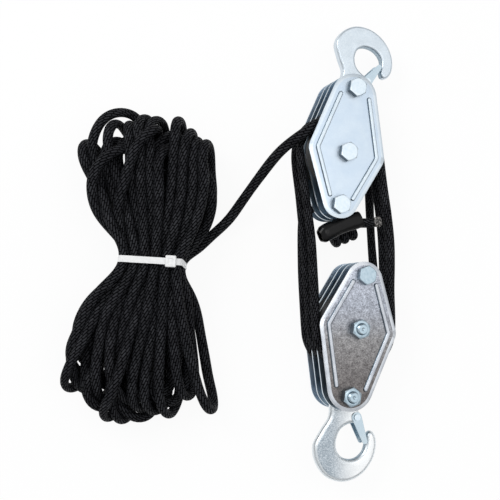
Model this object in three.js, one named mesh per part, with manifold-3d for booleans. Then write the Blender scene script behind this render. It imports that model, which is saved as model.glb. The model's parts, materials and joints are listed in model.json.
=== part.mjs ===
// Block and tackle: two blocks with three sheaves each, a swinging latch hook on either block,
// one black rope reeved six times between them, and the spare rope tied up in a hank.
// Millimetres, +Z up. The tackle lies on the floor along Y, with the hauling part on its -X side.
import * as THREE from "three";
import { mergeVertices } from "three/addons/utils/BufferGeometryUtils.js";
import Module from "manifold-3d";

const wasm = await Module();
wasm.setup();

// Clearances.
const seatGap = 0.3; // between pieces that sit on or in one another
const runGap = 0.6; // between a sheave's flanks and the plates
const overrun = 3; // how far a cut runs past what it cuts

// Rope: it draws thinner where it carries load.
const ladenRope = 8.2;
const slackRope = 8.8;

// Cheek plates, four to a block, measured from the axle.
const plateThick = 2;
const bayWidth = 13; // clear width between two plates
const cornerReach = 40.5;
const cornerRadius = 14;
const hookBoltReach = 66;
const hookEndRadius = 24;
const hookEndMargin = 14.4; // from the hook bolt to the end of the plate
const becketBoltReach = 53;
const becketEndRadius = 19.5;
const becketEndMargin = 13.5;

// Pressed ribs on the two outer plates.
const ribWidth = 4.6;
const ribHeight = 1.4;
const ribInset = 9; // from the plate's edge to the middle of the rib
const ribHookReach = 57;
const ribBecketReach = 45;

// Bolts and nuts.
const boltRadius = 5;
const hexAcross = 17;
const headHeight = 6.4;
const nutHeight = 8;
const boltEnd = 3; // what shows past the nut
const hexFlatShare = 0.94; // the round flat on top of a head or nut, against the distance across its sides
const tubeWall = 2; // wall of the bushes and spacers

// Sheaves.
const grooveRadius = 34; // axle to the bottom of the groove
const flangeRise = 4.7; // from the bottom of the groove to the rim

// Hook, measured in its own frame: the pin hole at 0, the load line along +y, the mouth on +x.
const hookThick = 10;
const eyeRadius = 13.5;
const hookBreadth = 63.4; // what its shares across are taken of
const upperHookReach = 53; // pin hole to the inside of the bowl
const lowerHookReach = 63.4;
const hookEdge = 2.2; // rounding of its edges
const latchPinShares = [0.197, 0.371]; // its place, as shares of the breadth and of the reach
const latchReachShare = 0.442; // pin to tip
const latchPinRadius = 2;
const pinHeadShare = 1.6;
const latchSheet = 1.2;
const latchEyeRadius = 5;
const latchEyeWebShare = 1.4; // where the web begins, in eye radii from the pin
const latchTipDepth = 5;
const springWire = 1;
const springTurns = 2;
const springPocket = 4.2; // depth of the recess that holds the spring

// How the two blocks lie. Both roll onto a plate corner and the bolt ends behind.
const blockYaw = THREE.MathUtils.degToRad(-8.2);
const upperHookSwing = THREE.MathUtils.degToRad(19);
const lowerHookSwing = THREE.MathUtils.degToRad(15);
const lowerAside = 32.4; // lower axle from upper axle, along the upper block's width
const lowerBelow = 172.1; // along its length
const lowerForward = 10.5; // along its axle

// Worked out from the sizes above.
const bayPitch = bayWidth + plateThick;
const halfStack = 1.5 * bayPitch + plateThick / 2;
const ladenRadius = ladenRope / 2;
const ropeCircle = grooveRadius + seatGap + ladenRadius;
const flangeRadius = grooveRadius + flangeRise;
const boltStandOut = seatGap + nutHeight + boltEnd;
const blockRoll = Math.atan2(boltStandOut, cornerReach - boltRadius);
const tubeLength = bayWidth - 2 * seatGap;
const tubeBore = boltRadius + seatGap;
const tubeRadius = tubeBore + tubeWall;
const [latchPinAcrossShare, latchPinAlongShare] = latchPinShares;
const latchPinAcross = latchPinAcrossShare * hookBreadth;

const zinc = { color: 0xc9d6e2, roughness: 0.34, metalness: 0.9 };
const galvanised = { color: 0xa9aeb0, roughness: 0.45, metalness: 0.85 };
const steel = { color: 0xb4c2d0, roughness: 0.3, metalness: 0.95 };
const nylonBlack = { color: 0x17181a, roughness: 0.5, metalness: 0 };
const ropeBlack = { color: 0x1b1c1e, roughness: 0.9, metalness: 0 };
const sleeveBlack = { color: 0x1f1d20, roughness: 0.35, metalness: 0 };
const nylonWhite = { color: 0xf0f0f2, roughness: 0.5, metalness: 0 };
const bronze = { color: 0x9b7443, roughness: 0.4, metalness: 0.85 };

const root = new THREE.Group();
const tackle = new THREE.Group(); // upper axle at its origin, x across, y along, z through the block
root.add(tackle);

function addPiece(group, name, geometry, finish) {
  const mesh = new THREE.Mesh(geometry, new THREE.MeshStandardMaterial(finish));
  mesh.name = name;
  group.add(mesh);
  return mesh;
}

// Solids for joining and cutting.
function solidOf(geometry) {
  const bare = geometry.index ? geometry.toNonIndexed() : geometry.clone();
  for (const name of Object.keys(bare.attributes)) if (name !== "position") bare.deleteAttribute(name);
  const welded = mergeVertices(bare);
  return new wasm.Manifold(
    new wasm.Mesh({
      numProp: 3,
      vertProperties: welded.attributes.position.array,
      triVerts: new Uint32Array(welded.index.array),
    }),
  );
}

function geometryOf(solid) {
  const mesh = solid.getMesh();
  const geometry = new THREE.BufferGeometry();
  geometry.setAttribute("position", new THREE.BufferAttribute(mesh.vertProperties, mesh.numProp));
  geometry.setIndex(new THREE.BufferAttribute(mesh.triVerts, 1));
  const faceted = geometry.toNonIndexed();
  faceted.computeVertexNormals();
  return faceted;
}

// A round solid about the z axis, from pairs of radius and height.
function turned(profile, segments) {
  const points = profile.map(([radius, height]) => new THREE.Vector2(radius, height));
  return new THREE.LatheGeometry(points, segments).rotateX(Math.PI / 2);
}

function disc(radius, from, to, segments) {
  return turned([[0, from], [radius, from], [radius, to], [0, to]], segments);
}

function ring(inner, outer, from, to, segments) {
  return turned([[inner, from], [outer, from], [outer, to], [inner, to], [inner, from]], segments);
}

function extruded(shape, from, to, curveSegments) {
  const depth = to - from;
  return new THREE.ExtrudeGeometry(shape, { depth, bevelEnabled: false, curveSegments }).translate(0, 0, from);
}

// A path that goes through its own stations and no others.
class StationPath extends THREE.Curve {
  constructor(stations) {
    super();
    this.stations = stations;
  }
  getPoint(t, target = new THREE.Vector3()) {
    const last = this.stations.length - 1;
    const place = THREE.MathUtils.clamp(t, 0, 1) * last;
    const index = Math.min(Math.floor(place + 1e-6), last - 1);
    return target.lerpVectors(this.stations[index], this.stations[index + 1], place - index);
  }
  getPointAt(u, target) {
    return this.getPoint(u, target);
  }
  getTangentAt(u, target = new THREE.Vector3()) {
    const last = this.stations.length - 1;
    const index = Math.round(u * last);
    const before = this.stations[Math.max(index - 1, 0)];
    const here = this.stations[index];
    const after = this.stations[Math.min(index + 1, last)];
    const arriving = new THREE.Vector3().subVectors(here, before).normalize();
    const leaving = new THREE.Vector3().subVectors(after, here).normalize();
    return target.addVectors(arriving, leaving).normalize();
  }
}

function ropeTube(stations, radius, sides) {
  const section = new THREE.Shape();
  for (let side = 0; side < sides; side++) {
    const angle = (2 * Math.PI * side) / sides;
    const x = radius * Math.cos(angle);
    const y = radius * Math.sin(angle);
    side ? section.lineTo(x, y) : section.moveTo(x, y);
  }
  section.closePath();
  const settings = { steps: stations.length - 1, extrudePath: new StationPath(stations), bevelEnabled: false };
  return new THREE.ExtrudeGeometry(section, settings);
}

// Cheek plates. The outline is a belt round four circles, and the ribs follow it further in.
const cornerCentre = cornerReach - cornerRadius;
const hookEndCentre = hookBoltReach + hookEndMargin - hookEndRadius;
const becketEndCentre = becketBoltReach + becketEndMargin - becketEndRadius;
const outlineCircles = [
  { x: cornerCentre, y: 0, radius: cornerRadius },
  { x: 0, y: hookEndCentre, radius: hookEndRadius },
  { x: -cornerCentre, y: 0, radius: cornerRadius },
  { x: 0, y: -becketEndCentre, radius: becketEndRadius },
];

// The direction in which the belt's straight from one circle to the next faces.
function beltNormal(from, to) {
  const across = to.x - from.x;
  const along = to.y - from.y;
  const lean = Math.asin((from.radius - to.radius) / Math.hypot(across, along));
  return Math.atan2(along, across) - Math.PI / 2 + lean;
}

function beltShape(circles) {
  const shape = new THREE.Shape();
  circles.forEach((circle, index) => {
    const before = circles.at(index - 1);
    const after = circles[(index + 1) % circles.length];
    shape.absarc(circle.x, circle.y, circle.radius, beltNormal(before, circle), beltNormal(circle, after));
  });
  return shape;
}

function roundHole(across, along, radius, sides) {
  const points = [];
  for (let side = 0; side < sides; side++) {
    const angle = (-2 * Math.PI * side) / sides;
    points.push(new THREE.Vector2(across + radius * Math.cos(angle), along + radius * Math.sin(angle)));
  }
  return new THREE.Path(points);
}

function plateGeometry() {
  const shape = beltShape(outlineCircles);
  for (const along of [hookBoltReach, 0, -becketBoltReach]) shape.holes.push(roundHole(0, along, tubeBore, 12));
  return extruded(shape, -plateThick / 2, plateThick / 2, 5);
}

// One rib of the right-hand side, as a band with round ends.
function ribShape() {
  const [corner, hookEnd, , becketEnd] = outlineCircles;
  const lower = beltNormal(becketEnd, corner);
  const upper = beltNormal(corner, hookEnd);
  const bend = cornerRadius - ribInset;
  const half = ribWidth / 2;
  const endAt = (normal, along) => {
    const slide = (along - bend * Math.sin(normal)) / Math.cos(normal);
    return [corner.x + bend * Math.cos(normal) - slide * Math.sin(normal), along];
  };
  const [lowX, lowY] = endAt(lower, -ribBecketReach);
  const [highX, highY] = endAt(upper, ribHookReach);
  const shape = new THREE.Shape();
  shape.absarc(lowX, lowY, half, lower + Math.PI, lower + 2 * Math.PI);
  shape.absarc(corner.x, corner.y, bend + half, lower, upper);
  shape.absarc(highX, highY, half, upper, upper + Math.PI);
  shape.absarc(corner.x, corner.y, bend - half, upper, lower, true);
  return shape;
}

function ribbedPlateGeometry(side) {
  const bevel = { bevelEnabled: true, bevelThickness: ribHeight / 2, bevelSize: ribHeight / 2, bevelSegments: 1 };
  const settings = { depth: ribHeight / 2, bevelOffset: -ribHeight / 2, curveSegments: 3, ...bevel };
  const rib = new THREE.ExtrudeGeometry(ribShape(), settings).translate(0, 0, plateThick / 2 - ribHeight / 2);
  const right = solidOf(rib);
  const whole = solidOf(plateGeometry()).add(right).add(right.mirror([1, 0, 0]));
  return geometryOf(side < 0 ? whole.mirror([0, 0, 1]) : whole);
}

// Bolts, nuts, bushes and spacers lie along z.
function hexSolid(height) {
  const corner = hexAcross / Math.sqrt(3);
  const prism = new THREE.CylinderGeometry(corner, corner, height, 6).rotateX(Math.PI / 2).translate(0, 0, height / 2);
  const flat = (hexFlatShare * hexAcross) / 2;
  const wide = corner + overrun;
  const drop = (wide - flat) * Math.tan(Math.PI / 6);
  const chamfer = turned([[0, -overrun], [wide, -overrun], [wide, height - drop], [flat, height], [0, height]], 18);
  return solidOf(prism).intersect(solidOf(chamfer));
}

function boltGeometry() {
  const head = hexSolid(headHeight).translate([0, 0, halfStack + seatGap]);
  const shank = disc(boltRadius, -halfStack - boltStandOut, halfStack + seatGap + headHeight / 2, 12);
  return geometryOf(head.add(solidOf(shank)));
}

function nutGeometry() {
  const bore = solidOf(disc(boltRadius + seatGap, -overrun, nutHeight + overrun, 12));
  return geometryOf(hexSolid(nutHeight).subtract(bore)).rotateX(Math.PI).translate(0, 0, -halfStack - seatGap);
}

function tubeGeometry() {
  return ring(tubeBore, tubeRadius, -tubeLength / 2, tubeLength / 2, 12);
}

function sheaveGeometry() {
  const half = bayWidth / 2 - runGap;
  const grooveStep = (5 * Math.PI) / 24;
  const seat = (ladenRadius + seatGap) / Math.cos(grooveStep / 2);
  const bore = tubeRadius + seatGap;
  const profile = [[bore, -half], [flangeRadius, -half]];
  for (let step = -2; step <= 2; step++) {
    const angle = step * grooveStep;
    profile.push([ropeCircle - seat * Math.cos(angle), seat * Math.sin(angle)]);
  }
  profile.push([flangeRadius, half], [bore, half], [bore, -half]);
  return turned(profile, 20);
}

// Hook. The back, bowl, tip and latch lug run on from the round eye, as shares of its breadth and reach.
const hookBackShares = [
  [-0.205, 0.17], [-0.235, 0.31], [-0.39, 0.49], [-0.548, 0.72], [-0.535, 0.98],
  [-0.385, 1.22], [-0.12, 1.335], [0.17, 1.28], [0.4, 1.08], [0.498, 0.83], [0.485, 0.68], [0.44, 0.622],
];
const hookMouthShares = [
  [0.385, 0.628], [0.345, 0.68], [0.318, 0.78], [0.255, 0.92], [0.13, 1.0], [0, 1.0], [-0.115, 0.94],
  [-0.178, 0.82], [-0.158, 0.66], [-0.07, 0.525], [0.07, 0.462], [0.2, 0.458], [0.285, 0.4], [0.272, 0.3],
  [0.225, 0.19],
];

// open is 1 where the mouth faces +x and -1 where it faces -x.
function hookGeometry(open, reach) {
  const place = ([across, along]) => new THREE.Vector2(across * hookBreadth, along * reach);
  const eye = new THREE.EllipseCurve(0, 0, eyeRadius, eyeRadius, Math.PI * 0.1, Math.PI * 0.9, true);
  const sweep = [...hookBackShares, ...hookMouthShares].map(place);
  const eyePoints = eye.getPoints(8);
  const outline = [...eyePoints, ...new THREE.SplineCurve([eyePoints.at(-1), ...sweep]).getPoints(48).slice(1)];
  if (open > 0) outline.reverse(); // an outline with a hole runs counter-clockwise
  const shape = new THREE.Shape(outline.map((point) => new THREE.Vector2(point.x * open, point.y)));
  shape.holes.push(roundHole(0, 0, tubeBore, 14));
  const bevel = { bevelEnabled: true, bevelThickness: hookEdge, bevelSize: hookEdge, bevelSegments: 1 };
  const depth = hookThick - 2 * hookEdge;
  const body = new THREE.ExtrudeGeometry(shape, { depth, bevelOffset: -hookEdge, ...bevel });
  let solid = solidOf(body.translate(0, 0, -depth / 2));
  const pinHole = disc(latchPinRadius + seatGap, -hookThick, hookThick, 10);
  const pocket = disc(latchEyeRadius + seatGap, hookThick / 2 - springPocket, hookThick, 14);
  for (const cut of [pinHole, pocket]) {
    solid = solid.subtract(solidOf(cut.translate(open * latchPinAcross, latchPinAlongShare * reach, 0)));
  }
  return geometryOf(solid);
}

// The latch is a sheet channel: two tapered cheeks astride the hook, and a web on the outside.
const cheekInside = hookThick / 2 + seatGap;
const cheekOutside = cheekInside + latchSheet;
const latchTipRadius = latchTipDepth / 2;

function latchGeometry(open, reach) {
  const tipCentre = latchReachShare * reach - latchTipRadius;
  const circles = [{ x: 0, y: 0, radius: latchEyeRadius }, { x: 0, y: tipCentre, radius: latchTipRadius }];
  const cheek = beltShape(circles);
  cheek.holes.push(roundHole(0, 0, latchPinRadius + seatGap, 10));
  const taper = (latchEyeRadius - latchTipRadius) / tipCentre;
  const edgeAt = (along) => (latchEyeRadius - taper * along) / Math.sqrt(1 - taper * taper);
  const webFrom = latchEyeRadius * latchEyeWebShare;
  const webTo = tipCentre - latchSheet;
  const corners = [[edgeAt(webFrom), webFrom], [edgeAt(webTo), webTo]];
  corners.push([edgeAt(webTo) - latchSheet, webTo], [edgeAt(webFrom) - latchSheet, webFrom]);
  const web = new THREE.Shape(corners.map(([across, along]) => new THREE.Vector2(open * across, along)));
  const sink = latchSheet / 2;
  return geometryOf(
    solidOf(extruded(web, -cheekInside - sink, cheekInside + sink, 1))
      .add(solidOf(extruded(cheek, cheekInside, cheekOutside, 6)))
      .add(solidOf(extruded(cheek, -cheekOutside, -cheekInside, 6))),
  );
}

function latchPinGeometry() {
  const end = cheekOutside + seatGap;
  const head = latchPinRadius * pinHeadShare;
  const rim = end + latchPinRadius / 2;
  const half = [[0, rim], [head, rim], [head, end], [latchPinRadius, end]];
  const otherHalf = half.map(([radius, height]) => [radius, -height]);
  return turned([...otherHalf, ...half.reverse()], 10);
}

function latchSpringGeometry() {
  const coil = latchPinRadius + seatGap + springWire;
  const from = hookThick / 2 - springPocket + seatGap + springWire / 2;
  const to = cheekInside - seatGap - springWire / 2;
  const stations = [];
  const steps = 8 * springTurns;
  for (let step = 0; step <= steps; step++) {
    const angle = (step * Math.PI) / 4;
    const height = THREE.MathUtils.lerp(from, to, step / steps);
    stations.push(new THREE.Vector3(coil * Math.cos(angle), coil * Math.sin(angle), height));
  }
  return ropeTube(stations, springWire / 2, 5);
}

// One block, hook end towards +y. bareBay is the bay where the rope's dead end takes the place of a
// becket spacer, and heads says which side each bolt's head is on.
function makeBlock(prefix, { open, reach, swing, latchLean, heads, bareBay, plateFinish }) {
  const block = new THREE.Group();
  const plateNames = ["back_plate", "inner_back_plate", "inner_front_plate", "front_plate"];
  plateNames.forEach((name, index) => {
    const side = { back_plate: -1, front_plate: 1 }[name] ?? 0;
    const geometry = side ? ribbedPlateGeometry(side) : plateGeometry();
    const finish = side > 0 ? plateFinish : zinc;
    addPiece(block, `${prefix}_${name}`, geometry, finish).position.z = (index - 1.5) * bayPitch;
  });
  const bolts = { hook_bolt: hookBoltReach, axle_bolt: 0, becket_bolt: -becketBoltReach };
  for (const [name, along] of Object.entries(bolts)) {
    const bolt = addPiece(block, `${prefix}_${name}`, boltGeometry(), steel);
    const nut = addPiece(block, `${prefix}_${name.replace("bolt", "nut")}`, nutGeometry(), steel);
    for (const piece of [bolt, nut]) {
      piece.position.y = along;
      if (heads[name] < 0) piece.rotation.y = Math.PI;
    }
  }
  ["a", "b", "c"].forEach((letter, index) => {
    const bay = (index - 1) * bayPitch;
    addPiece(block, `${prefix}_sheave_${letter}`, sheaveGeometry(), nylonBlack).position.z = bay;
    addPiece(block, `${prefix}_bush_${letter}`, tubeGeometry(), bronze).position.z = bay;
    const places = {};
    if (letter !== "b") places.hook_spacer = hookBoltReach;
    if (letter !== bareBay) places.becket_spacer = -becketBoltReach;
    for (const [name, along] of Object.entries(places)) {
      addPiece(block, `${prefix}_${name}_${letter}`, tubeGeometry(), steel).position.set(0, along, bay);
    }
  });
  const hook = new THREE.Group();
  hook.position.y = hookBoltReach;
  hook.rotation.z = -open * swing;
  addPiece(hook, `${prefix}_hook`, hookGeometry(open, reach), zinc);
  const latch = new THREE.Group();
  latch.position.set(open * latchPinAcross, latchPinAlongShare * reach, 0);
  latch.rotation.z = -open * latchLean;
  addPiece(latch, `${prefix}_hook_latch`, latchGeometry(open, reach), zinc);
  addPiece(latch, `${prefix}_latch_pin`, latchPinGeometry(), steel);
  addPiece(latch, `${prefix}_latch_spring`, latchSpringGeometry(), steel);
  hook.add(latch);
  block.add(hook);
  return block;
}

const latchLean = THREE.MathUtils.degToRad(13);
const upperAxle = new THREE.Vector3();
const lowerAxle = new THREE.Vector3(lowerAside, -lowerBelow, lowerForward);
const upperBlock = makeBlock("upper", {
  open: 1,
  reach: upperHookReach,
  swing: upperHookSwing,
  latchLean,
  heads: { hook_bolt: 1, axle_bolt: 1, becket_bolt: 1 },
  bareBay: "a",
  plateFinish: zinc,
});
const lowerBlock = makeBlock("lower", {
  open: -1,
  reach: lowerHookReach,
  swing: lowerHookSwing,
  latchLean,
  heads: { hook_bolt: -1, axle_bolt: -1, becket_bolt: 1 },
  bareBay: "",
  plateFinish: galvanised,
});
lowerBlock.position.copy(lowerAxle);
lowerBlock.rotation.z = Math.PI;
tackle.add(upperBlock, lowerBlock);

// The reeved rope, from the becket down and up through the bays, back to front.
const rightward = Math.atan2(lowerAside, lowerBelow); // the way the right-hand falls face
const wrapStep = Math.PI / 12;
const tailLeaves = THREE.MathUtils.degToRad(143);

function wrapStations(centre, radius, from, to) {
  const steps = Math.round((to - from) / wrapStep);
  const reach = radius / Math.cos((to - from) / steps / 2);
  const stations = [];
  for (let step = 0; step <= steps; step++) {
    const angle = THREE.MathUtils.lerp(from, to, step / steps);
    stations.push(new THREE.Vector3(reach * Math.cos(angle), reach * Math.sin(angle), 0).add(centre));
  }
  return stations;
}

// Places along the dead end and its knot, in rope diameters from the becket bolt in the back bay.
const deadEndShares = [[2.146, -1.902, 0.073], [1.78, -1.098, 0.024]];
const firstFallShares = [[-1.634, -0.195, 0], [-2.366, -0.902, 0.073], [-2.878, -1.78, 0.22]];
const knotCentreShares = [1.537, -3.354, 1.585];
const stubShares = [[3.78, -1.39, 3.39], [4.634, -1.488, 3.366], [5.61, -1.61, 3.366]];
const becketWrapShares = [0.13, 0.76]; // of half a turn, where the rope meets and leaves the bolt

const becketWrap = boltRadius + seatGap + ladenRadius;
const becketPin = new THREE.Vector3(0, -becketBoltReach, -bayPitch);
const ropePlace = (shares) => new THREE.Vector3(...shares).multiplyScalar(ladenRope).add(becketPin);
const becketTurn = becketWrapShares.map((share) => share * Math.PI);
const reeved = [
  ...deadEndShares.map(ropePlace),
  ...wrapStations(becketPin, becketWrap, ...becketTurn),
  ...firstFallShares.map(ropePlace),
];
for (const bay of [-1, 0, 1]) {
  const level = new THREE.Vector3(0, 0, bay * bayPitch);
  const below = level.clone().add(lowerAxle);
  const last = bay === 1 ? tailLeaves : rightward + Math.PI;
  reeved.push(...wrapStations(below, ropeCircle, rightward + Math.PI, rightward + 2 * Math.PI));
  reeved.push(...wrapStations(level.add(upperAxle), ropeCircle, rightward, last));
}
addPiece(tackle, "reeved_rope", ropeTube(reeved, ladenRadius, 8), ropeBlack);

// The knot under the becket: turns laid side by side, and the end brought back over them.
const knotCentre = ropePlace(knotCentreShares);
const knotLean = THREE.MathUtils.degToRad(26);
const knotAxis = new THREE.Vector3(Math.cos(knotLean), Math.sin(knotLean), 0);
const knotUp = new THREE.Vector3(-Math.sin(knotLean), Math.cos(knotLean), 0);
const knotOut = new THREE.Vector3(0, 0, 1);
const knotTurns = 2.5;
const knotPitch = ladenRope + 2 * seatGap;
const knotRadius = ladenRope + 2 * seatGap;
const knotEnterShare = 1.098; // where the turns begin along their axis, in rope diameters
const returnRise = 2.073 * ladenRope; // the returning end, from the middle of the turns
const returnFrom = -1.341 * ladenRope;
const returnTo = 2.195 * ladenRope;
const returnSide = Math.PI / 3; // how far round the turns it lies
const returnBendShares = [[-1.902, 0.35, 0.82], [-1.756, 0.85, 0.98]]; // along, and shares of the rise

function knotPlace(along, up, out) {
  const place = knotCentre.clone().addScaledVector(knotAxis, along);
  return place.addScaledVector(knotUp, up).addScaledVector(knotOut, out);
}

function knotStations() {
  const stations = [];
  const entry = new THREE.Vector3().subVectors(reeved[0], reeved[1]).normalize();
  for (const on of [seatGap, ladenRadius]) stations.push(reeved[0].clone().addScaledVector(entry, on));
  const steps = 12 * knotTurns;
  for (let step = 0; step <= steps; step++) {
    const angle = -Math.PI / 2 - (step * Math.PI) / 6;
    const along = knotEnterShare * ladenRope - (step / 12) * knotPitch;
    stations.push(knotPlace(along, knotRadius * Math.cos(angle), knotRadius * Math.sin(angle)));
  }
  const up = returnRise * Math.cos(returnSide);
  const out = returnRise * Math.sin(returnSide);
  for (const [along, upShare, outShare] of returnBendShares) {
    stations.push(knotPlace(along * ladenRope, upShare * up, outShare * out));
  }
  stations.push(knotPlace(returnFrom, up, out), knotPlace(returnTo, up, out), ...stubShares.map(ropePlace));
  return stations;
}
addPiece(tackle, "becket_knot", ropeTube(knotStations(), ladenRadius, 8), ropeBlack);

// A smooth sleeve clasps the returning end.
function sleeveGeometry() {
  const inside = ladenRadius + seatGap;
  const outside = inside + latchSheet;
  const spread = (Math.PI * 5) / 9;
  const section = new THREE.Shape().absarc(0, 0, outside, returnSide - spread, returnSide + spread);
  section.absarc(0, 0, inside, returnSide + spread, returnSide - spread, true);
  const turn = new THREE.Matrix4().makeBasis(knotUp, knotOut, knotAxis);
  const up = returnRise * Math.cos(returnSide);
  const out = returnRise * Math.sin(returnSide);
  const start = knotPlace(returnFrom, up, out);
  return extruded(section, 0, returnTo - returnFrom, 8).applyMatrix4(turn).translate(...start.toArray());
}
addPiece(tackle, "knot_sleeve", sleeveGeometry(), sleeveBlack);

// The tackle is rolled and turned, then stood on the floor with the middle of its box at the origin.
tackle.rotation.set(0, blockRoll, blockYaw, "ZYX");
root.updateMatrixWorld(true);
const tackleBox = new THREE.Box3().setFromObject(tackle, true);
const tackleMiddle = tackleBox.getCenter(new THREE.Vector3());
tackle.position.set(-tackleMiddle.x, -tackleMiddle.y, -tackleBox.min.z);

// The spare rope: a hank of nested loops in four layers, spiralling in and out by turns, drawn in at
// the waist. Its own frame has x across the hank, y along it and the floor at 0.
const slackRadius = slackRope / 2;
const hankPlace = new THREE.Vector3(-192.6, -8.3, 0);
const hankTurn = THREE.MathUtils.degToRad(-5.5);
const hankLoops = 20;
const layerLoops = 5;
const loopSteps = 24;
const strandGap = 0.5; // wanted between any two strands
const waistHalf = 31; // middle of the outermost strand at the waist
const waistPitch = 6.6;
const waistRow = 6.8; // strands cross the waist in two rows to a layer, this far apart
const waistLift = 2.3; // room for the tie under the waist
const lobeHalf = 64.5; // radius of the outermost bight
const lobePitch = 9.2;
const upperBight = 88; // from the waist to the middle of the bights
const lowerBight = 93;
const topDrift = [-20, -4, -18, -8]; // how far each layer's upper lobe lies to one side
const bottomDrift = [-16, 3, -14, -2];

// From the waist to where the bight begins, in thirds, as shares of the way outwards and of a row.
const spreadShares = [0, 0.47, 0.84, 1];
const rowShares = [1, 0.72, 0.2, 0];

function between(values, place) {
  const index = Math.min(Math.floor(place), values.length - 2);
  return THREE.MathUtils.lerp(values[index], values[index + 1], place - index);
}

// Where the rope is after so many loops. A loop starts at the waist on the right, going down.
function hankStation(loops) {
  const spiral = (loops + 0.25) / layerLoops;
  const into = (spiral - Math.floor(spiral)) * layerLoops;
  const nest = Math.floor(spiral) % 2 ? layerLoops - into : into;
  let layer = 0;
  for (const turn of [1, 2, 3]) {
    const climb = loops - turn * layerLoops;
    layer += THREE.MathUtils.smoothstep(climb, -0.6, 0.1);
  }
  const part = loops - Math.floor(loops);
  const upper = part >= 0.5;
  const half = 2 * part - (upper ? 1 : 0);
  const out = half < 0.5 ? 2 * half : 2 - 2 * half;
  const side = (half < 0.5 ? 1 : -1) * (upper ? -1 : 1);
  const drift = between(upper ? topDrift : bottomDrift, layer) * THREE.MathUtils.smoothstep(out, 0, 0.5);
  const straight = Math.min(2 * out, 1); // share of the way to the bight
  const round = Math.max(2 * out - 1, 0) * (Math.PI / 2); // angle round the bight
  const thirds = straight * (spreadShares.length - 1);
  const inLobe = lobeHalf - lobePitch * nest;
  const inWaist = waistHalf - waistPitch * nest;
  const across = THREE.MathUtils.lerp(inWaist, inLobe, between(spreadShares, thirds)) * Math.cos(round);
  const along = (upper ? upperBight : lowerBight) * straight + inLobe * Math.sin(round);
  const crossing = Math.round(2 * loops);
  const row = (Math.floor(crossing / 2) + crossing) % 2 ? 1 : 0;
  const rowShare = between(rowShares, thirds);
  const layerPitch = slackRope + strandGap + waistRow * rowShare;
  const height = slackRadius + seatGap + layer * layerPitch + (waistLift + waistRow * row) * rowShare;
  return new THREE.Vector3(side * across + drift, upper ? along : -along, height);
}

// The nearest points of two straight pieces, as shares of each, and the way from one to the other.
const towards = new THREE.Vector3();
const firstRun = new THREE.Vector3();
const secondRun = new THREE.Vector3();
const startToStart = new THREE.Vector3();

function nearest(stations, first, second) {
  firstRun.subVectors(stations[first + 1], stations[first]);
  secondRun.subVectors(stations[second + 1], stations[second]);
  startToStart.subVectors(stations[first], stations[second]);
  const a = firstRun.lengthSq();
  const b = firstRun.dot(secondRun);
  const c = firstRun.dot(startToStart);
  const e = secondRun.lengthSq();
  const f = secondRun.dot(startToStart);
  const clamp = (value) => THREE.MathUtils.clamp(value, 0, 1);
  const spread = a * e - b * b;
  let s = spread > 0 ? clamp((b * f - c * e) / spread) : 0;
  const t = clamp((b * s + f) / e);
  s = clamp((b * t - c) / a);
  towards.copy(startToStart).addScaledVector(firstRun, s).addScaledVector(secondRun, -t);
  return [s, t, towards.length()];
}

function nearPairs(stations, reach) {
  const pairs = [];
  for (let first = 0; first + 1 < stations.length; first++) {
    for (let second = first + 3; second + 1 < stations.length; second++) {
      if (nearest(stations, first, second)[2] < reach) pairs.push([first, second]);
    }
  }
  return pairs;
}

// Strands that lie too close are eased apart, a little in each round, and each is drawn back
// towards its own place and shape.
const easingRounds = 320;
const closingRounds = 50; // the last ones only part the strands
const pairsEvery = 10;
const homePull = 0.01;
const shapePull = 0.06;

function easeApart(stations, floorAt) {
  const home = stations.map((station) => station.clone());
  const wanted = slackRope + strandGap;
  const bend = (list, index) => new THREE.Vector3().addVectors(list[index - 1], list[index + 1]).divideScalar(2);
  let pairs = [];
  for (let round = 0; round < easingRounds; round++) {
    if (round % pairsEvery === 0) pairs = nearPairs(stations, wanted + slackRadius);
    for (const [first, second] of pairs) {
      const [s, t, apart] = nearest(stations, first, second);
      if (apart >= wanted) continue;
      const push = (wanted - apart) / apart / 2;
      for (const [index, share, way] of [[first, s, push], [second, t, -push]]) {
        const weight = share ** 2 + (1 - share) ** 2;
        stations[index].addScaledVector(towards, (way * (1 - share)) / weight);
        stations[index + 1].addScaledVector(towards, (way * share) / weight);
      }
    }
    for (let index = 1; round < easingRounds - closingRounds && index + 1 < stations.length; index++) {
      const shape = bend(stations, index).add(home[index]).sub(bend(home, index));
      stations[index].lerp(home[index], homePull).lerp(shape, shapePull);
    }
    stations.forEach((station, index) => (station.z = Math.max(station.z, floorAt(index))));
  }
}

// The rope enters at the waist from the right.
const hankEntry = [[50.5, 22.5, 10], [45, 14.5, 9], [37, 5.5, 8]].map((place) => new THREE.Vector3(...place));
const hankStations = [...hankEntry];
const hankEnd = (hankLoops - 0.1) * loopSteps;
for (let step = 1; step <= hankEnd; step++) hankStations.push(hankStation(step / loopSteps));
easeApart(hankStations, (index) => {
  const fromWaist = (index - hankEntry.length + 1) % (loopSteps / 2);
  return slackRadius + seatGap + (fromWaist ? 0 : waistLift);
});
const closest = Math.min(...nearPairs(hankStations, 2 * slackRope).map(([a, b]) => nearest(hankStations, a, b)[2]));
console.log(`hank: ${(closest - slackRope).toFixed(2)} mm between the closest strands`);

const hank = new THREE.Group();
hank.position.copy(hankPlace);
hank.rotation.z = hankTurn;
root.add(hank);
addPiece(hank, "hank", ropeTube(hankStations, slackRadius, 6), ropeBlack);
root.updateMatrixWorld(true);

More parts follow.
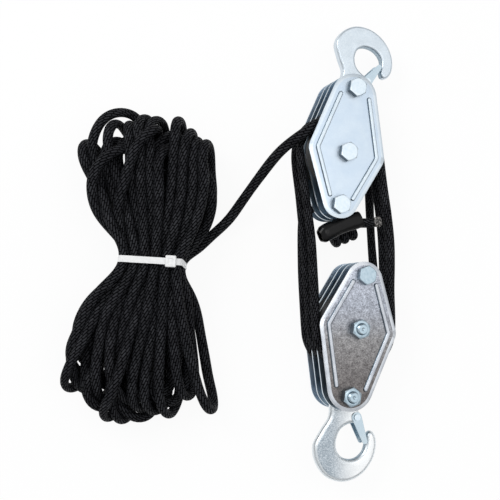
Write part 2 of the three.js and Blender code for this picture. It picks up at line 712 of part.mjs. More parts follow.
// The tail: from the upper block's front sheave, down over the floor and into the hank.
const tailFrom = tackle.localToWorld(reeved.at(-1).clone());
const tailOut = tackle.localToWorld(reeved.at(-2).clone()).sub(tailFrom).normalize().negate();
const tailTo = hank.localToWorld(hankEntry[0].clone());
const tailIn = hank.localToWorld(hankEntry[1].clone()).sub(tailTo).normalize();
const tailRoute = [
  [-63.7, 98.8, 45], [-85.7, 73.8, 32], [-105.7, 47.8, 21], [-117.7, 29.8, 14],
].map((place) => new THREE.Vector3(...place));
const tailPath = new THREE.CatmullRomCurve3([
  tailFrom.clone().addScaledVector(tailOut, slackRope),
  ...tailRoute,
  tailTo.clone().addScaledVector(tailIn, -slackRope),
]);
const tailStations = [
  tailFrom.clone().addScaledVector(tailOut, seatGap),
  ...tailPath.getPoints(22),
  tailTo.clone().addScaledVector(tailIn, -seatGap),
];
addPiece(root, "tail", ropeTube(tailStations, slackRadius, 8), ropeBlack);

// The tie: a nylon band drawn round the waist, with its head on top.
const tieWidth = 6.5;
const tieThick = 1.3;
const tieHeadAcross = 10.5;
const tieHeadAlong = 11.5;
const tieHeadRise = 5;
const tieHeadFrom = 23.5; // middle of the head, right of the waist's middle

// The points where the strands cross a line along the waist.
function crossings(along) {
  const found = [];
  for (let index = 1; index < hankStations.length; index++) {
    const before = hankStations[index - 1];
    const after = hankStations[index];
    if ((before.y - along) * (after.y - along) > 0 || before.y === after.y) continue;
    found.push(before.clone().lerp(after, (along - before.y) / (after.y - before.y)));
  }
  return found;
}

// The tightest outline round a set of points, counter-clockwise.
function hull(points) {
  const sorted = [...points].sort((a, b) => a.x - b.x || a.y - b.y);
  const turn = (a, b, c) => (b.x - a.x) * (c.y - a.y) - (b.y - a.y) * (c.x - a.x);
  const chain = (list) => {
    const kept = [];
    for (const point of list) {
      while (kept.length > 1 && turn(kept.at(-2), kept.at(-1), point) <= 0) kept.pop();
      kept.push(point);
    }
    return kept.slice(0, -1);
  };
  return [...chain(sorted), ...chain(sorted.reverse())];
}

function tieGeometry() {
  const middles = [-tieWidth / 2, 0, tieWidth / 2].flatMap(crossings);
  const outline = (radius) => {
    const points = [];
    for (const middle of middles) {
      for (let side = 0; side < 12; side++) {
        const angle = (side * Math.PI) / 6;
        points.push(new THREE.Vector2(middle.x + radius * Math.cos(angle), middle.z + radius * Math.sin(angle)));
      }
    }
    return hull(points);
  };
  const inside = outline(slackRadius + 2 * seatGap);
  const outside = outline(slackRadius + 2 * seatGap + tieThick);
  const band = new THREE.Shape(outside);
  band.holes.push(new THREE.Path(inside.reverse()));
  const top = outside.findIndex((point, index) => {
    const next = outside[(index + 1) % outside.length];
    return next.x < point.x && (next.x - tieHeadFrom) * (point.x - tieHeadFrom) <= 0;
  });
  const from = outside[top];
  const next = outside[(top + 1) % outside.length];
  const lean = Math.atan2(from.y - next.y, from.x - next.x);
  const height = THREE.MathUtils.lerp(from.y, next.y, (from.x - tieHeadFrom) / (from.x - next.x));
  const head = new THREE.BoxGeometry(tieHeadAcross, tieHeadRise + tieThick, tieHeadAlong);
  head.translate(0, (tieHeadRise - tieThick) / 2, 0).rotateZ(lean).translate(tieHeadFrom, height, 0);
  const both = solidOf(extruded(band, -tieWidth / 2, tieWidth / 2, 1)).add(solidOf(head));
  return geometryOf(both).rotateX(Math.PI / 2);
}
addPiece(hank, "hank_tie", tieGeometry(), nylonWhite);

export default root;
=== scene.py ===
import json
import math
import random

import bmesh
import bpy
import numpy as np
from mathutils import Matrix, Vector

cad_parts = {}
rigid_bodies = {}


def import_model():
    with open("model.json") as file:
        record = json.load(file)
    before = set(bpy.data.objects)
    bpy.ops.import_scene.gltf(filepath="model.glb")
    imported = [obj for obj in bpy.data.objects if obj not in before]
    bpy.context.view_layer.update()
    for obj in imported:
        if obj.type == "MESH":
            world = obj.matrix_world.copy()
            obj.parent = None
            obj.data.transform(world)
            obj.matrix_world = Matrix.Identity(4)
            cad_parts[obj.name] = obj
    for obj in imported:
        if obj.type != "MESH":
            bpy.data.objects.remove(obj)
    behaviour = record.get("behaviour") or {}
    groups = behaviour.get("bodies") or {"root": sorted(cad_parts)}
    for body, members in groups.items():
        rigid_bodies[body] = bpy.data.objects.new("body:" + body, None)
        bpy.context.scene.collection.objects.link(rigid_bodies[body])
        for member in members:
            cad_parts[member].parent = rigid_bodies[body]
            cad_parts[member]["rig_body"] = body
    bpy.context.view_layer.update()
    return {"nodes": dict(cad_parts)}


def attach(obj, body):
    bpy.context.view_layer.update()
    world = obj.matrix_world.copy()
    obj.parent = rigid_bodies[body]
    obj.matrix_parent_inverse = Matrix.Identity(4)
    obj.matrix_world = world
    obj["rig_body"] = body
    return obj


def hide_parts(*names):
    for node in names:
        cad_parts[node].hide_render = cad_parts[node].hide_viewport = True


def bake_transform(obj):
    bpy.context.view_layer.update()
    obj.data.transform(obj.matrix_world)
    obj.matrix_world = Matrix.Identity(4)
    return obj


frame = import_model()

# Block and tackle. Sizes below are millimetres, the scene is metres.
mm = 0.001
white = "ffffff"
ops, shift, norm = bmesh.ops, Matrix.Translation, np.linalg.norm
vertKind, edgeKind = bmesh.types.BMVert, bmesh.types.BMEdge


def fromHex(text):
    # sRGB hex to a linear colour
    parts = [int(text[i:i + 2], 16) / 255 for i in (0, 2, 4)]
    return [p / 12.92 if p <= 0.04045 else ((p + 0.055) / 1.055) ** 2.4 for p in parts] + [1]


def turned(degrees, axis):
    return Matrix.Rotation(math.radians(degrees), 4, axis)


def link(obj):
    bpy.context.scene.collection.objects.link(obj)


# camera: as the photograph was taken, nearly straight down
cameraLook = {"tilt": 6, "distance": 1040, "aim": (-95.6, 2.7), "lens": 72, "sensor": 36, "clip": (0.05, 20)}


def makeCamera(look):
    tilt = math.radians(look["tilt"])
    data = bpy.data.cameras.new("camera")
    data.lens, data.sensor_width = look["lens"], look["sensor"]
    data.clip_start, data.clip_end = look["clip"]
    camera = bpy.data.objects.new("camera", data)
    x, y = look["aim"]
    far = look["distance"]
    camera.location = Vector((x, y - math.sin(tilt) * far, math.cos(tilt) * far)) * mm
    camera.rotation_euler = (tilt, 0, 0)
    link(camera)
    bpy.context.scene.camera = camera


makeCamera(cameraLook)
print("camera placed")

# where the two blocks lie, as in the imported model: roll in radians, yaw in degrees
layout = {
    "at": (-5.97, 95.3935, 34.6772), "roll": 0.3081690465737699, "yaw": -8.2,
    "lowerAxle": (32.4, -172.1, 10.5),
    "hookBolt": 66, "becketBolt": 53, "boltRadius": 5, "pitch": 15,
}
boltRows = {"hook": layout["hookBolt"], "axle": 0, "becket": -layout["becketBolt"]}
tackle = shift(layout["at"]) @ turned(layout["yaw"], "Z") @ Matrix.Rotation(layout["roll"], 4, "Y")
upperPlace = tackle
lowerPlace = tackle @ shift(layout["lowerAxle"]) @ turned(180, "Z")


def hookPlace(block, mouth, swing):
    return block @ shift((0, boltRows["hook"], 0)) @ turned(-mouth * swing, "Z")


# small helpers
def setUp(obj, node, also=()):
    # the piece rides where its solid rides, and stands for it
    link(obj)
    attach(obj, frame["nodes"][node]["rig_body"])
    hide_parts(node, *also)
    return obj


def toObject(bm, node, place, materials, sharp=32):
    bm.transform(place)
    bm.transform(Matrix.Scale(mm, 4))
    mesh = toMesh(bm, node.replace("_", "-"))
    for material in materials:
        mesh.materials.append(material)
    mesh.shade_smooth()
    mesh.set_sharp_from_angle(angle=math.radians(sharp))
    piece = bpy.data.objects.new(mesh.name, mesh)
    even = piece.modifiers.new("flat faces stay flat", "WEIGHTED_NORMAL")
    even.keep_sharp = True
    return setUp(piece, node)


def sharpEdges(bm, over=40):
    return [e for e in bm.edges if len(e.link_faces) == 2 and e.calc_face_angle(0) > math.radians(over)]


def rounded(bm, edges, offset, segments, clamp=True):
    ops.bevel(bm, geom=edges, offset=offset, offset_type="OFFSET", segments=segments, profile=0.5, affect="EDGES",
              clamp_overlap=clamp, material=-1)


def bevelSharp(bm, offset, segments, over=40):
    rounded(bm, sharpEdges(bm, over), offset, segments)


def picked(geometry, kind):
    return [g for g in geometry if isinstance(g, kind)]


def outward(bm):
    ops.recalc_face_normals(bm, faces=bm.faces[:])


def lifted(bm, height):
    ops.translate(bm, verts=bm.verts[:], vec=(0, 0, height))


def turnedOver(bm):
    ops.rotate(bm, verts=bm.verts[:], cent=(0, 0, 0), matrix=turned(180, "Y"))


def insetFace(bm, face, thickness, depth=0):
    ops.inset_region(bm, faces=[face], thickness=thickness, depth=depth)


def arcLoop(bm, arcs, step):
    # a closed outline of arcs, each spun from one vertex and joined to the next by a straight
    first = last = None
    for x, y, radius, start, end in arcs:
        vert = bm.verts.new((x + radius * math.cos(start), y + radius * math.sin(start), 0))
        if last:
            bm.edges.new((last, vert))
        first = first or vert
        arc = ops.spin(bm, geom=[vert], cent=(x, y, 0), axis=(0, 0, 1), angle=end - start,
                       steps=max(2, math.ceil(abs(end - start) / step)))
        last = picked(arc["geom_last"], vertKind)[0]
    bm.edges.new((last, first))


def drawnOut(bm, depth):
    # every face drawn out to a solid
    grown = ops.extrude_face_region(bm, geom=bm.faces[:])
    ops.translate(bm, verts=picked(grown["geom"], vertKind), vec=(0, 0, depth))
    outward(bm)


def cutSheet(bm, holes, bore, thick):
    # the outline filled round its holes and drawn out to a sheet with z = 0 in its middle
    for along in holes:
        ops.create_circle(bm, segments=40, radius=bore, matrix=shift((0, along, 0)))
    ops.triangle_fill(bm, use_beauty=True, use_dissolve=False, edges=bm.edges[:])
    drawnOut(bm, thick)
    lifted(bm, -thick / 2)


def spun(profile, segments):
    # a profile of radius and height, turned once about z
    bm = bmesh.new()
    verts = [bm.verts.new((radius, 0, height)) for radius, height in profile]
    for a, b in zip(verts, verts[1:]):
        bm.edges.new((a, b))
    ops.spin(bm, geom=bm.verts[:] + bm.edges[:], cent=(0, 0, 0), axis=(0, 0, 1), angle=2 * math.pi,
                   steps=segments, use_merge=True)
    ops.remove_doubles(bm, verts=bm.verts[:], dist=1e-4)
    outward(bm)
    return bm


def toMesh(bm, name):
    mesh = bpy.data.meshes.new(name)
    bm.to_mesh(mesh)
    bm.free()
    return mesh


def joined(*parts):
    whole = bmesh.new()
    for part in parts:
        held = toMesh(part, "held")
        whole.from_mesh(held)
        bpy.data.meshes.remove(held)
    return whole


# materials
def newMaterial(name):
    material = bpy.data.materials.new(name)
    material.use_nodes = True
    return material


def feed(material, socket, value):
    # another node's output is linked, anything else is set
    if isinstance(value, bpy.types.NodeSocket):
        material.node_tree.links.new(value, socket)
    else:
        socket.default_value = value


def addNode(material, kind, settings=None, inputs=None):
    node = material.node_tree.nodes.new(kind)
    for name, value in (settings or {}).items():
        setattr(node, name, value)
    for name, value in (inputs or {}).items():
        feed(material, node.inputs[name], value)
    return node


def shader(material, **inputs):
    # the principled shader that a new material already holds
    node = material.node_tree.nodes["Principled BSDF"]
    for name, value in inputs.items():
        feed(material, node.inputs[name.replace("_", " ")], value)


def ramp(material, fac, stops):
    node = addNode(material, "ShaderNodeValToRGB", inputs={"Fac": fac})
    points = node.color_ramp.elements
    points[0].position, points[0].color = stops[0][0], fromHex(stops[0][1])
    points[1].position, points[1].color = stops[-1][0], fromHex(stops[-1][1])
    for at, colour in stops[1:-1]:
        points.new(at).color = fromHex(colour)
    return node.outputs["Color"]


def spots(material, size, detail=3, rough=0.5, stretch=(1, 1, 1)):
    # noise whose lumps are about this many millimetres across
    where = addNode(material, "ShaderNodeTexCoord").outputs["Object"]
    mapped = addNode(material, "ShaderNodeMapping", inputs={"Vector": where, "Scale": stretch}).outputs["Vector"]
    look = {"Vector": mapped, "Scale": 1 / (size * mm), "Detail": detail, "Roughness": rough}
    return addNode(material, "ShaderNodeTexNoise", inputs=look).outputs["Fac"]


def spread(material, value, low, high, start=0.3, end=0.7, how="LINEAR"):
    look = {"Value": value, "From Min": start, "From Max": end, "To Min": low, "To Max": high}
    return addNode(material, "ShaderNodeMapRange", {"interpolation_type": how}, look).outputs["Result"]


def bumped(material, height, strength, distance):
    look = {"Height": height, "Strength": strength, "Distance": distance * mm}
    return addNode(material, "ShaderNodeBump", inputs=look).outputs["Normal"]


def maths(material, operation, *values):
    return addNode(material, "ShaderNodeMath", {"operation": operation}, dict(enumerate(values))).outputs[0]


def mixed(material, share, first, second, how="MIX"):
    settings = {"data_type": "RGBA", "blend_type": how}
    return addNode(material, "ShaderNodeMix", settings, {0: share, 6: first, 7: second}).outputs[2]


def between(material, share, first, second):
    values = {"Factor": share, "A": first, "B": second}
    return addNode(material, "ShaderNodeMix", {"data_type": "FLOAT"}, values).outputs["Result"]


def coordinate(material, axis, kind="Object"):
    where = addNode(material, "ShaderNodeTexCoord").outputs[kind]
    return addNode(material, "ShaderNodeSeparateXYZ", inputs={"Vector": where}).outputs[axis]


def gradual(material, value, start, end, low=0.0, high=1.0):
    return spread(material, value, low, high, start, end, "SMOOTHSTEP")


def plainFinish(name, lumps, stops, rough, bump=None, grain=None, **more):
    # colour and gloss follow the same lumps; the bump follows them too, or a finer grain
    m = newMaterial(name)
    noise = spots(m, *lumps)
    if bump:
        more["Normal"] = bumped(m, spots(m, *grain) if grain else noise, *bump)
    gloss = spread(m, noise, *rough) if isinstance(rough, tuple) else rough
    shader(m, Base_Color=ramp(m, noise, stops), Roughness=gloss, **more)
    return m


def zincSheet(name, low, high, smooth, rough):
    # Bright zinc on pressed steel sheet: a cool, nearly white metal with soft cloudy reflections.
    return plainFinish(name, (14, 3), [(0.3, low), (0.7, high)], (smooth, rough), (0.1, 0.05),
                       (0.9, 2, 0.5, (1, 0.25, 1)), Metallic=1.0)


def galvanisedSheet():
    # Hot-dip galvanised steel: a mottled grey spangle with a fine grit. It is painted paler towards the becket end and
    # darker towards the hook end: painted shade, as the light falls off along the lower block.
    m = newMaterial("hotDipGalvanisedSheet")
    blotch = spots(m, 5, 5, 0.65)
    fine = spots(m, 1.3, 3, 0.75)  # a spangle is finer than this; drawn coarser so that it shows at this size
    both = between(m, 0.6, blotch, fine)
    towardsBecket = gradual(m, coordinate(m, "Y"), -0.150, -0.015)  # from the hook end to the becket end, in metres
    grit = ramp(m, both, [(0.38, "8f8d8d"), (0.5, "c9c9cb"), (0.62, white)])
    hookEndShade = ramp(m, towardsBecket, [(0.0, "8f8a88"), (0.4, "b5b4b4"), (0.75, "d0d6e1"), (1.0, "e1e7f3")])
    shader(m, Base_Color=mixed(m, 1, grit, hookEndShade, "MULTIPLY"), Metallic=1.0, Roughness=spread(m, both, 0.34, 0.46),
           Normal=bumped(m, both, 0.3, 0.06))
    return m


def forgedHook(name, low, middle, high, strength, toneShift=False):
    # Forged steel under bright zinc: the scale left by the die shows as a fine silver speckle.
    m = newMaterial(name)
    speck = spots(m, 1.2, 3, 0.7)
    cloud = spots(m, 9, 2)
    colour = ramp(m, speck, [(0.32, low), (0.5, middle), (0.66, high)])
    if toneShift:  # painted highlight: lighter from the back of the hook to its mouth, where the light falls, in metres
        colour = mixed(m, gradual(m, coordinate(m, "X"), -0.020, 0.012), colour, fromHex("fafcfd"))
    shader(m, Base_Color=colour, Metallic=1.0,
           Roughness=spread(m, cloud, 0.34, 0.46), Normal=bumped(m, speck, strength, 0.12))
    return m


def fastener(name, low, high):
    # Machined and bright zinc plated: the sharpest reflections, a little blue.
    return plainFinish(name, (3, 2), [(0.3, low), (0.7, high)], (0.28, 0.32), Metallic=1.0)


# rows of stitches round the rope, each stitch's length and seam in rows, and how steeply the rows climb;
# the stitches are a third coarser than real ones so that they show at this size
ropeLook = {"rows": 11, "stitch": 2.4, "seam": 0.32, "slant": -0.4, "wander": 0.5, "gloss": 0.6}


def braidedRope(name, dark, mid, light):
    # Solid-braided polypropylene: short steep stitches in rows, each a small rounded bead with a grey sheen.
    m = newMaterial(name)
    uv = addNode(m, "ShaderNodeUVMap", {"uv_map": "UVMap"}).outputs["UV"]
    split = addNode(m, "ShaderNodeSeparateXYZ", inputs={"Vector": uv}).outputs
    along, around = [maths(m, "MULTIPLY", split[axis], ropeLook["rows"]) for axis in "YX"]
    risen = maths(m, "MULTIPLY_ADD", along, ropeLook["slant"], around)
    drift = maths(m, "MULTIPLY_ADD", spots(m, 7, 2), ropeLook["wander"], risen)
    grid = addNode(m, "ShaderNodeCombineXYZ", inputs={"X": along, "Y": drift}).outputs["Vector"]
    bricks = addNode(m, "ShaderNodeTexBrick", {"offset": 0.5},
                     {"Vector": grid, "Color1": fromHex(mid), "Color2": fromHex(light), "Mortar": fromHex(dark),
                      "Scale": 1.0, "Mortar Size": ropeLook["seam"], "Mortar Smooth": 0.9,
                      "Brick Width": ropeLook["stitch"], "Row Height": 1.0, "Bias": 0.0}).outputs
    # random wear: the rope is a little darker here and there
    toneShift = ramp(m, spots(m, 11, 3), [(0.3, "b4b4b8"), (0.7, white)])
    bead = maths(m, "SUBTRACT", 1.0, bricks["Fac"])
    shader(m, Base_Color=mixed(m, 1, bricks["Color"], toneShift, "MULTIPLY"), Roughness=ropeLook["gloss"],
           Specular_IOR_Level=spread(m, bead, 0.0, 0.16), Normal=bumped(m, bead, 0.9, 0.7))
    return m


zinc = zincSheet("brightZincPlatedSheet", "c8d7e6", "d7e4f0", 0.36, 0.44)
# Plate rims and edges: a lighter zinc, a painted highlight.
zincRimHighlight = zincSheet("shearedAndPlatedRim", "d2dee8", "e2ebf2", 0.3, 0.38)
# Inner plates: a darker zinc, painted shade between the other plates.
innerZinc = zincSheet("shadedZincPlatedSheet", "8fa4b4", "a9bac7", 0.3, 0.4)
upperForged = forgedHook("zincPlatedForging", "d0dbe4", "d9e3eb", "e2eaf0", 0.08)
lowerForged = forgedHook("coarseZincPlatedForging", "8b969f", "acb7c0", "d9e0e5", 0.2, True)
# Rounded edges of the lower hook: a near-white zinc, a painted highlight.
edgeHighlightForged = forgedHook("rolledEdgeZincPlatedForging", "cfd8de", "e8eef2", "f6fafc", 0.12)
# Inner wall of the hook's mouth: a darker zinc, painted shade.
mouthShadeForged = forgedHook("paintedShadeHookMouth", "7f909d", "9dafbb", "bccad4", 0.1)
galvanised = galvanisedSheet()
bright = fastener("brightZincFastener", "d2e0ea", "dfe9f0")
# Lower block's bolts and nuts: a darker zinc, painted shade where the light falls off.
lowerFastenerShade = fastener("paintedShadeLowerFastener", "a4b8c4", "bccdd7")
# Side faces of heads and nuts: a dark zinc, painted shade.
headSideShade = fastener("paintedShadeHeadSide", "4e5a63", "69767f")
lowerHeadSideShade = fastener("paintedShadeLowerHeadSide", "73838e", "8f9ea8")
# Rib crests: a lighter, shinier zinc; the lighter colour is a painted highlight.
ribCrestHighlight = zincSheet("paintedHighlightZincRib", "cddbe6", "dfe9f0", 0.3, 0.36)
galvanisedRibHighlight = zincSheet("paintedHighlightGalvanisedRib", "a8adb5", "d0d4da", 0.22, 0.28)
# Galvanised plate's rim: a lighter zinc, a painted highlight.
galvanisedRimHighlight = zincSheet("paintedHighlightGalvanisedRim", "b2b7bf", "dde1e6", 0.22, 0.3)
# Steep foot of each rib: a dark zinc, painted shade.
ribFootShade = zincSheet("paintedShadeRibFoot", "66747f", "7c8a95", 0.25, 0.35)
# Pressed latches: a darker zinc, painted shade.
latchShade = zincSheet("paintedShadeLatchZinc", "b4c6d1", "cbd9e1", 0.26, 0.36)
# Moulded nylon: black with a soft sheen and a fine moulded grain.
nylon = plainFinish("mouldedBlackNylon", (0.7, 2), [(0.3, "141517"), (0.7, "1d1e20")], (0.42, 0.52), (0.1, 0.05))
# Sintered bronze bush: warm and dull, with fine pores.
bushBronze = plainFinish("sinteredBronze", (0.5, 2), [(0.3, "7b5a33"), (0.6, "a88452")], (0.35, 0.5), Metallic=1.0)
# Drawn spring wire: darker than the plated parts.
wire = plainFinish("drawnSpringWire", (1, 2), [(0.3, "8d9399"), (0.7, "b5bbc0")], 0.3, Metallic=1.0)
rope = braidedRope("solidBraidedPolypropylene", "040404", "242529", "37383c")
ladenRopeFinish = braidedRope("ladenBraidedPolypropylene", "030303", "25262a", "393a3e")
# The cut end, melted shut: waxy, with charred black between the grey beads.
cutEnd = plainFinish("meltedPolypropylene", (1.6, 3), [(0.42, "181717"), (0.54, "5c5957"), (0.7, "bdb9b4")], 0.4,
                     (0.4, 0.2))
# Heat-shrunk sleeve: smooth glossy black, following the lumps below.
sleeve = plainFinish("heatShrunkSleeve", (5, 2), [(0.3, "040404"), (0.7, "0a090b")], (0.14, 0.22), (0.5, 0.7),
                     Specular_IOR_Level=0.22)
# Natural nylon tie: milky white with a satin moulded face.
tieNylon = plainFinish("naturalNylonTie", (3, 2), [(0.3, "eceded"), (0.7, "f6f6f6")], (0.38, 0.48))
print("materials made")

# rope reeved between the blocks, in the upper block's own frame
ropeSizes = {"laden": 8.2, "slack": 8.8, "drawn": 9.4, "flat": (1.1, 0.92), "groove": 34, "seat": 0.3, "step": 3.4,
             "sides": 14, "knotSwell": 1.13, "fallSwell": 1.06}
ladenRadius = ropeSizes["laden"] / 2
ropeCircle = ropeSizes["groove"] + ropeSizes["seat"] + ladenRadius
rightward = math.atan2(layout["lowerAxle"][0], -layout["lowerAxle"][1])
becketPin = np.array([0, boltRows["becket"], -layout["pitch"]])


def wrap(centre, radius, start, end):
    # points round part of a circle, a little outside it so that the straights between them don't cut in
    steps = round((end - start) / (math.pi / 12))
    reach = radius / math.cos((end - start) / steps / 2)
    angles = [start + (end - start) * k / steps for k in range(steps + 1)]
    return [np.array([reach * math.cos(a), reach * math.sin(a), 0]) + centre for a in angles]


def ropePlace(shares):
    # a point near the becket, in thicknesses of the rope from the becket bolt
    return np.array(shares) * ropeSizes["laden"] + becketPin


# The falls lie slack on the floor: how far each bay's rope bows out on its way down and back.
# It also sits a little proud of the grooves on the left, and leaves the last sheave early.
fallLook = {"proud": 1, "down": (0, 1.2, 3.2), "back": (-1.6, 3.4, 5.2), "leaves": math.radians(143),
            "start": [(2.146, -1.902, 0.073), (1.78, -1.098, 0.024)], "becket": (0.13 * math.pi, 0.76 * math.pi),
            "after": [(-1.634, -0.195, 0), (-2.366, -0.902, 0.073), (-2.878, -1.78, 0.22)]}


def bowed(start, end, bow, shares):
    return [start + (end - start) * t + bow * math.sin(math.pi * t) ** 2 for t in shares]


def reevedRoute(look):
    proud, halfTurn = look["proud"], math.pi
    ride = np.array([proud, 0, 0])
    out = np.array([math.cos(rightward), math.sin(rightward), 0])
    route = [ropePlace(s) for s in look["start"]]
    route += wrap(becketPin, layout["boltRadius"] + ropeSizes["seat"] + ladenRadius, *look["becket"])
    route += [ropePlace(s) for s in look["after"]]
    for bay, down, back in zip((-1, 0, 1), look["down"], look["back"]):
        bayLevel = np.array([0, 0, bay * layout["pitch"]])
        lower = bayLevel + np.array(layout["lowerAxle"]) - ride
        below = wrap(lower, ropeCircle + proud, rightward + halfTurn, rightward + 2 * halfTurn)
        if bay >= 0:
            route += bowed(route[-1], below[0], out * down, (0.25, 0.5, 0.75))
        route += below
        last = look["leaves"] if bay == 1 else rightward + halfTurn
        above = wrap(bayLevel - ride, ropeCircle + proud, rightward, last)
        route += bowed(route[-1], above[0], out * back, (0.2, 0.35, 0.5, 0.65, 0.8))
        route += above
    return np.array(route)


# along, up and out are measured from the knot's middle; the returning end is given in shares of up and out
knotLook = {"lean": 31, "turns": 2.5, "centre": (1.93, -2.8, 1.585), "radius": 8.2, "enter": 12.0, "pitch": 9.7,
            "up": 6.0, "out": 15.0, "back": [(-18.5, 0.2, 0.75), (-19, 0.8, 0.97), (-11, 1, 1), (8, 0.8, 1)],
            "end": [(3.55, -1.55, 3.45), (4.4, -1.42, 3.85), (4.95, -1.27, 4.5), (5.6, -1.12, 4.85)], "cut": 8.5}
knotCentre = ropePlace(knotLook["centre"])
lean = math.radians(knotLook["lean"])
knotAxis = np.array([math.cos(lean), math.sin(lean), 0])
knotUp = np.array([-math.sin(lean), math.cos(lean), 0])
knotOut = np.array([0, 0, 1.0])


def knotPlace(along, up, out):
    return knotCentre + knotAxis * along + knotUp * up + knotOut * out


def knotRoute(start, towards, look):
    # down from the becket, side by side in turns, then back over them inside the sleeve
    entry = (start - towards) / norm(start - towards)
    route = [start, start + entry * ladenRadius]
    pitch, radius = look["pitch"], look["radius"]
    for step in range(int(12 * look["turns"]) + 1):
        angle = -math.pi / 2 - step * math.pi / 6
        along = look["enter"] - step / 12 * pitch
        route.append(knotPlace(along, radius * math.cos(angle), radius * math.sin(angle)))
    route += [knotPlace(along, up * look["up"], out * look["out"]) for along, up, out in look["back"]]
    return np.array(route + [ropePlace(s) for s in look["end"]])


sleeveLook = {"from": -29.5, "to": 17, "tall": 6.9, "deep": 5.6, "wall": 1.3, "square": 0.75, "bow": 1.6,
              "swell": 0.08, "lumps": 0.05, "drawnIn": 0.3, "mouth": 0.08, "stations": 14, "lip": 0.45}


def sleevePiece(look):
    # a flat oval tube drawn over the returning end, a little bowed and lumpy, drawn in at its far mouth
    bm = bmesh.new()
    ops.create_circle(bm, segments=40, radius=1)
    rim = bm.edges[:]
    for _ in range(look["stations"]):
        grown = ops.extrude_edge_only(bm, edges=rim)["geom"]
        rim = picked(grown, edgeKind)
        ops.translate(bm, verts=picked(grown, vertKind), vec=(0, 0, 1 / look["stations"]))
    for vert in bm.verts:
        t = vert.co.z
        swell = 1 + look["swell"] * math.sin(math.pi * t) + look["lumps"] * math.sin(9 * t)
        swell -= look["drawnIn"] * max(0, 1 - t / look["mouth"]) ** 2
        angle = math.atan2(vert.co.y, vert.co.x)
        tall, deep = [math.copysign(abs(a) ** look["square"], a) * look[way] * swell
                      for a, way in ((math.cos(angle), "tall"), (math.sin(angle), "deep"))]
        bow = look["bow"] * math.sin(math.pi * t)
        along = look["from"] + (look["to"] - look["from"]) * t
        vert.co = knotPlace(along, knotLook["up"] + tall + bow, knotLook["out"] + deep + 0.5 * bow)
    outward(bm)
    ops.solidify(bm, geom=bm.faces[:], thickness=look["wall"])
    outward(bm)
    bevelSharp(bm, look["lip"], 3, 60)
    bm.normal_update()
    for face in bm.faces:  # the lip of the far mouth is rough like the melted end
        face.material_index = 1 if face.normal.dot(Vector(knotAxis)) < -0.75 else 0
    return bm


def rowNorm(rows):
    return norm(rows, axis=1)


def runAlong(points):
    return np.concatenate([[0], np.cumsum(rowNorm(np.diff(points, axis=0)))])


def onWay(t, start, end, a, b):
    # a at start, b at end, and on the straight between them at t
    return (end - t) / (end - start) * a + (t - start) / (end - start) * b


def smoothLine(points, step):
    # a centripetal Catmull-Rom curve through the points, then points at an even step along it
    p = np.asarray(points, float)
    p = np.vstack([2 * p[0] - p[1], p, 2 * p[-1] - p[-2]])
    gaps = np.sqrt(np.maximum(rowNorm(np.diff(p, axis=0)), 1e-6))
    fine = []
    for i in range(1, len(p) - 2):
        t0, t1 = 0, gaps[i - 1]
        t2 = t1 + gaps[i]
        t3 = t2 + gaps[i + 1]
        t = np.linspace(t1, t2, 13)[:-1, None]
        a, b, c = [onWay(t, *span, p[i + k - 1], p[i + k]) for k, span in enumerate(((t0, t1), (t1, t2), (t2, t3)))]
        fine.append(onWay(t, t1, t2, onWay(t, t0, t2, a, b), onWay(t, t1, t3, b, c)))
    fine = np.vstack(fine + [p[-2][None]])
    run = runAlong(fine)
    at = np.linspace(0, run[-1], max(2, round(run[-1] / step)) + 1)
    return np.stack([np.interp(at, run, fine[:, k]) for k in range(3)], axis=1)


def softened(points, rounds, kept):
    # small kinks eased out of an even line; its first points stay
    points = points.copy()
    for _ in range(rounds):
        held = np.vstack([points[:1]] * 2 + [points] + [points[-1:]] * 2)
        eased = sum(held[k:k + len(points)] * w for k, w in enumerate((1, 2, 3, 2, 1))) / 9
        points[kept:-2] = eased[kept:-2]
    return points


def lengthOf(points):
    return float(rowNorm(np.diff(points, axis=0)).sum())


def placed(points, place):
    turn = np.array(place)[:3, :3]
    return np.asarray(points) @ turn.T + np.array(place)[:3, 3]


# A rope is never quite even: how much it swells, over what length, and how late. Then how its cut end
# is rounded off, and the length that is flared where it is melted.
ropeFeel = {"swells": ((0.025, 23, 0), (0.02, 9.7, 1)), "roundedOff": (0.98, 0.88, 0.6), "flared": 8}


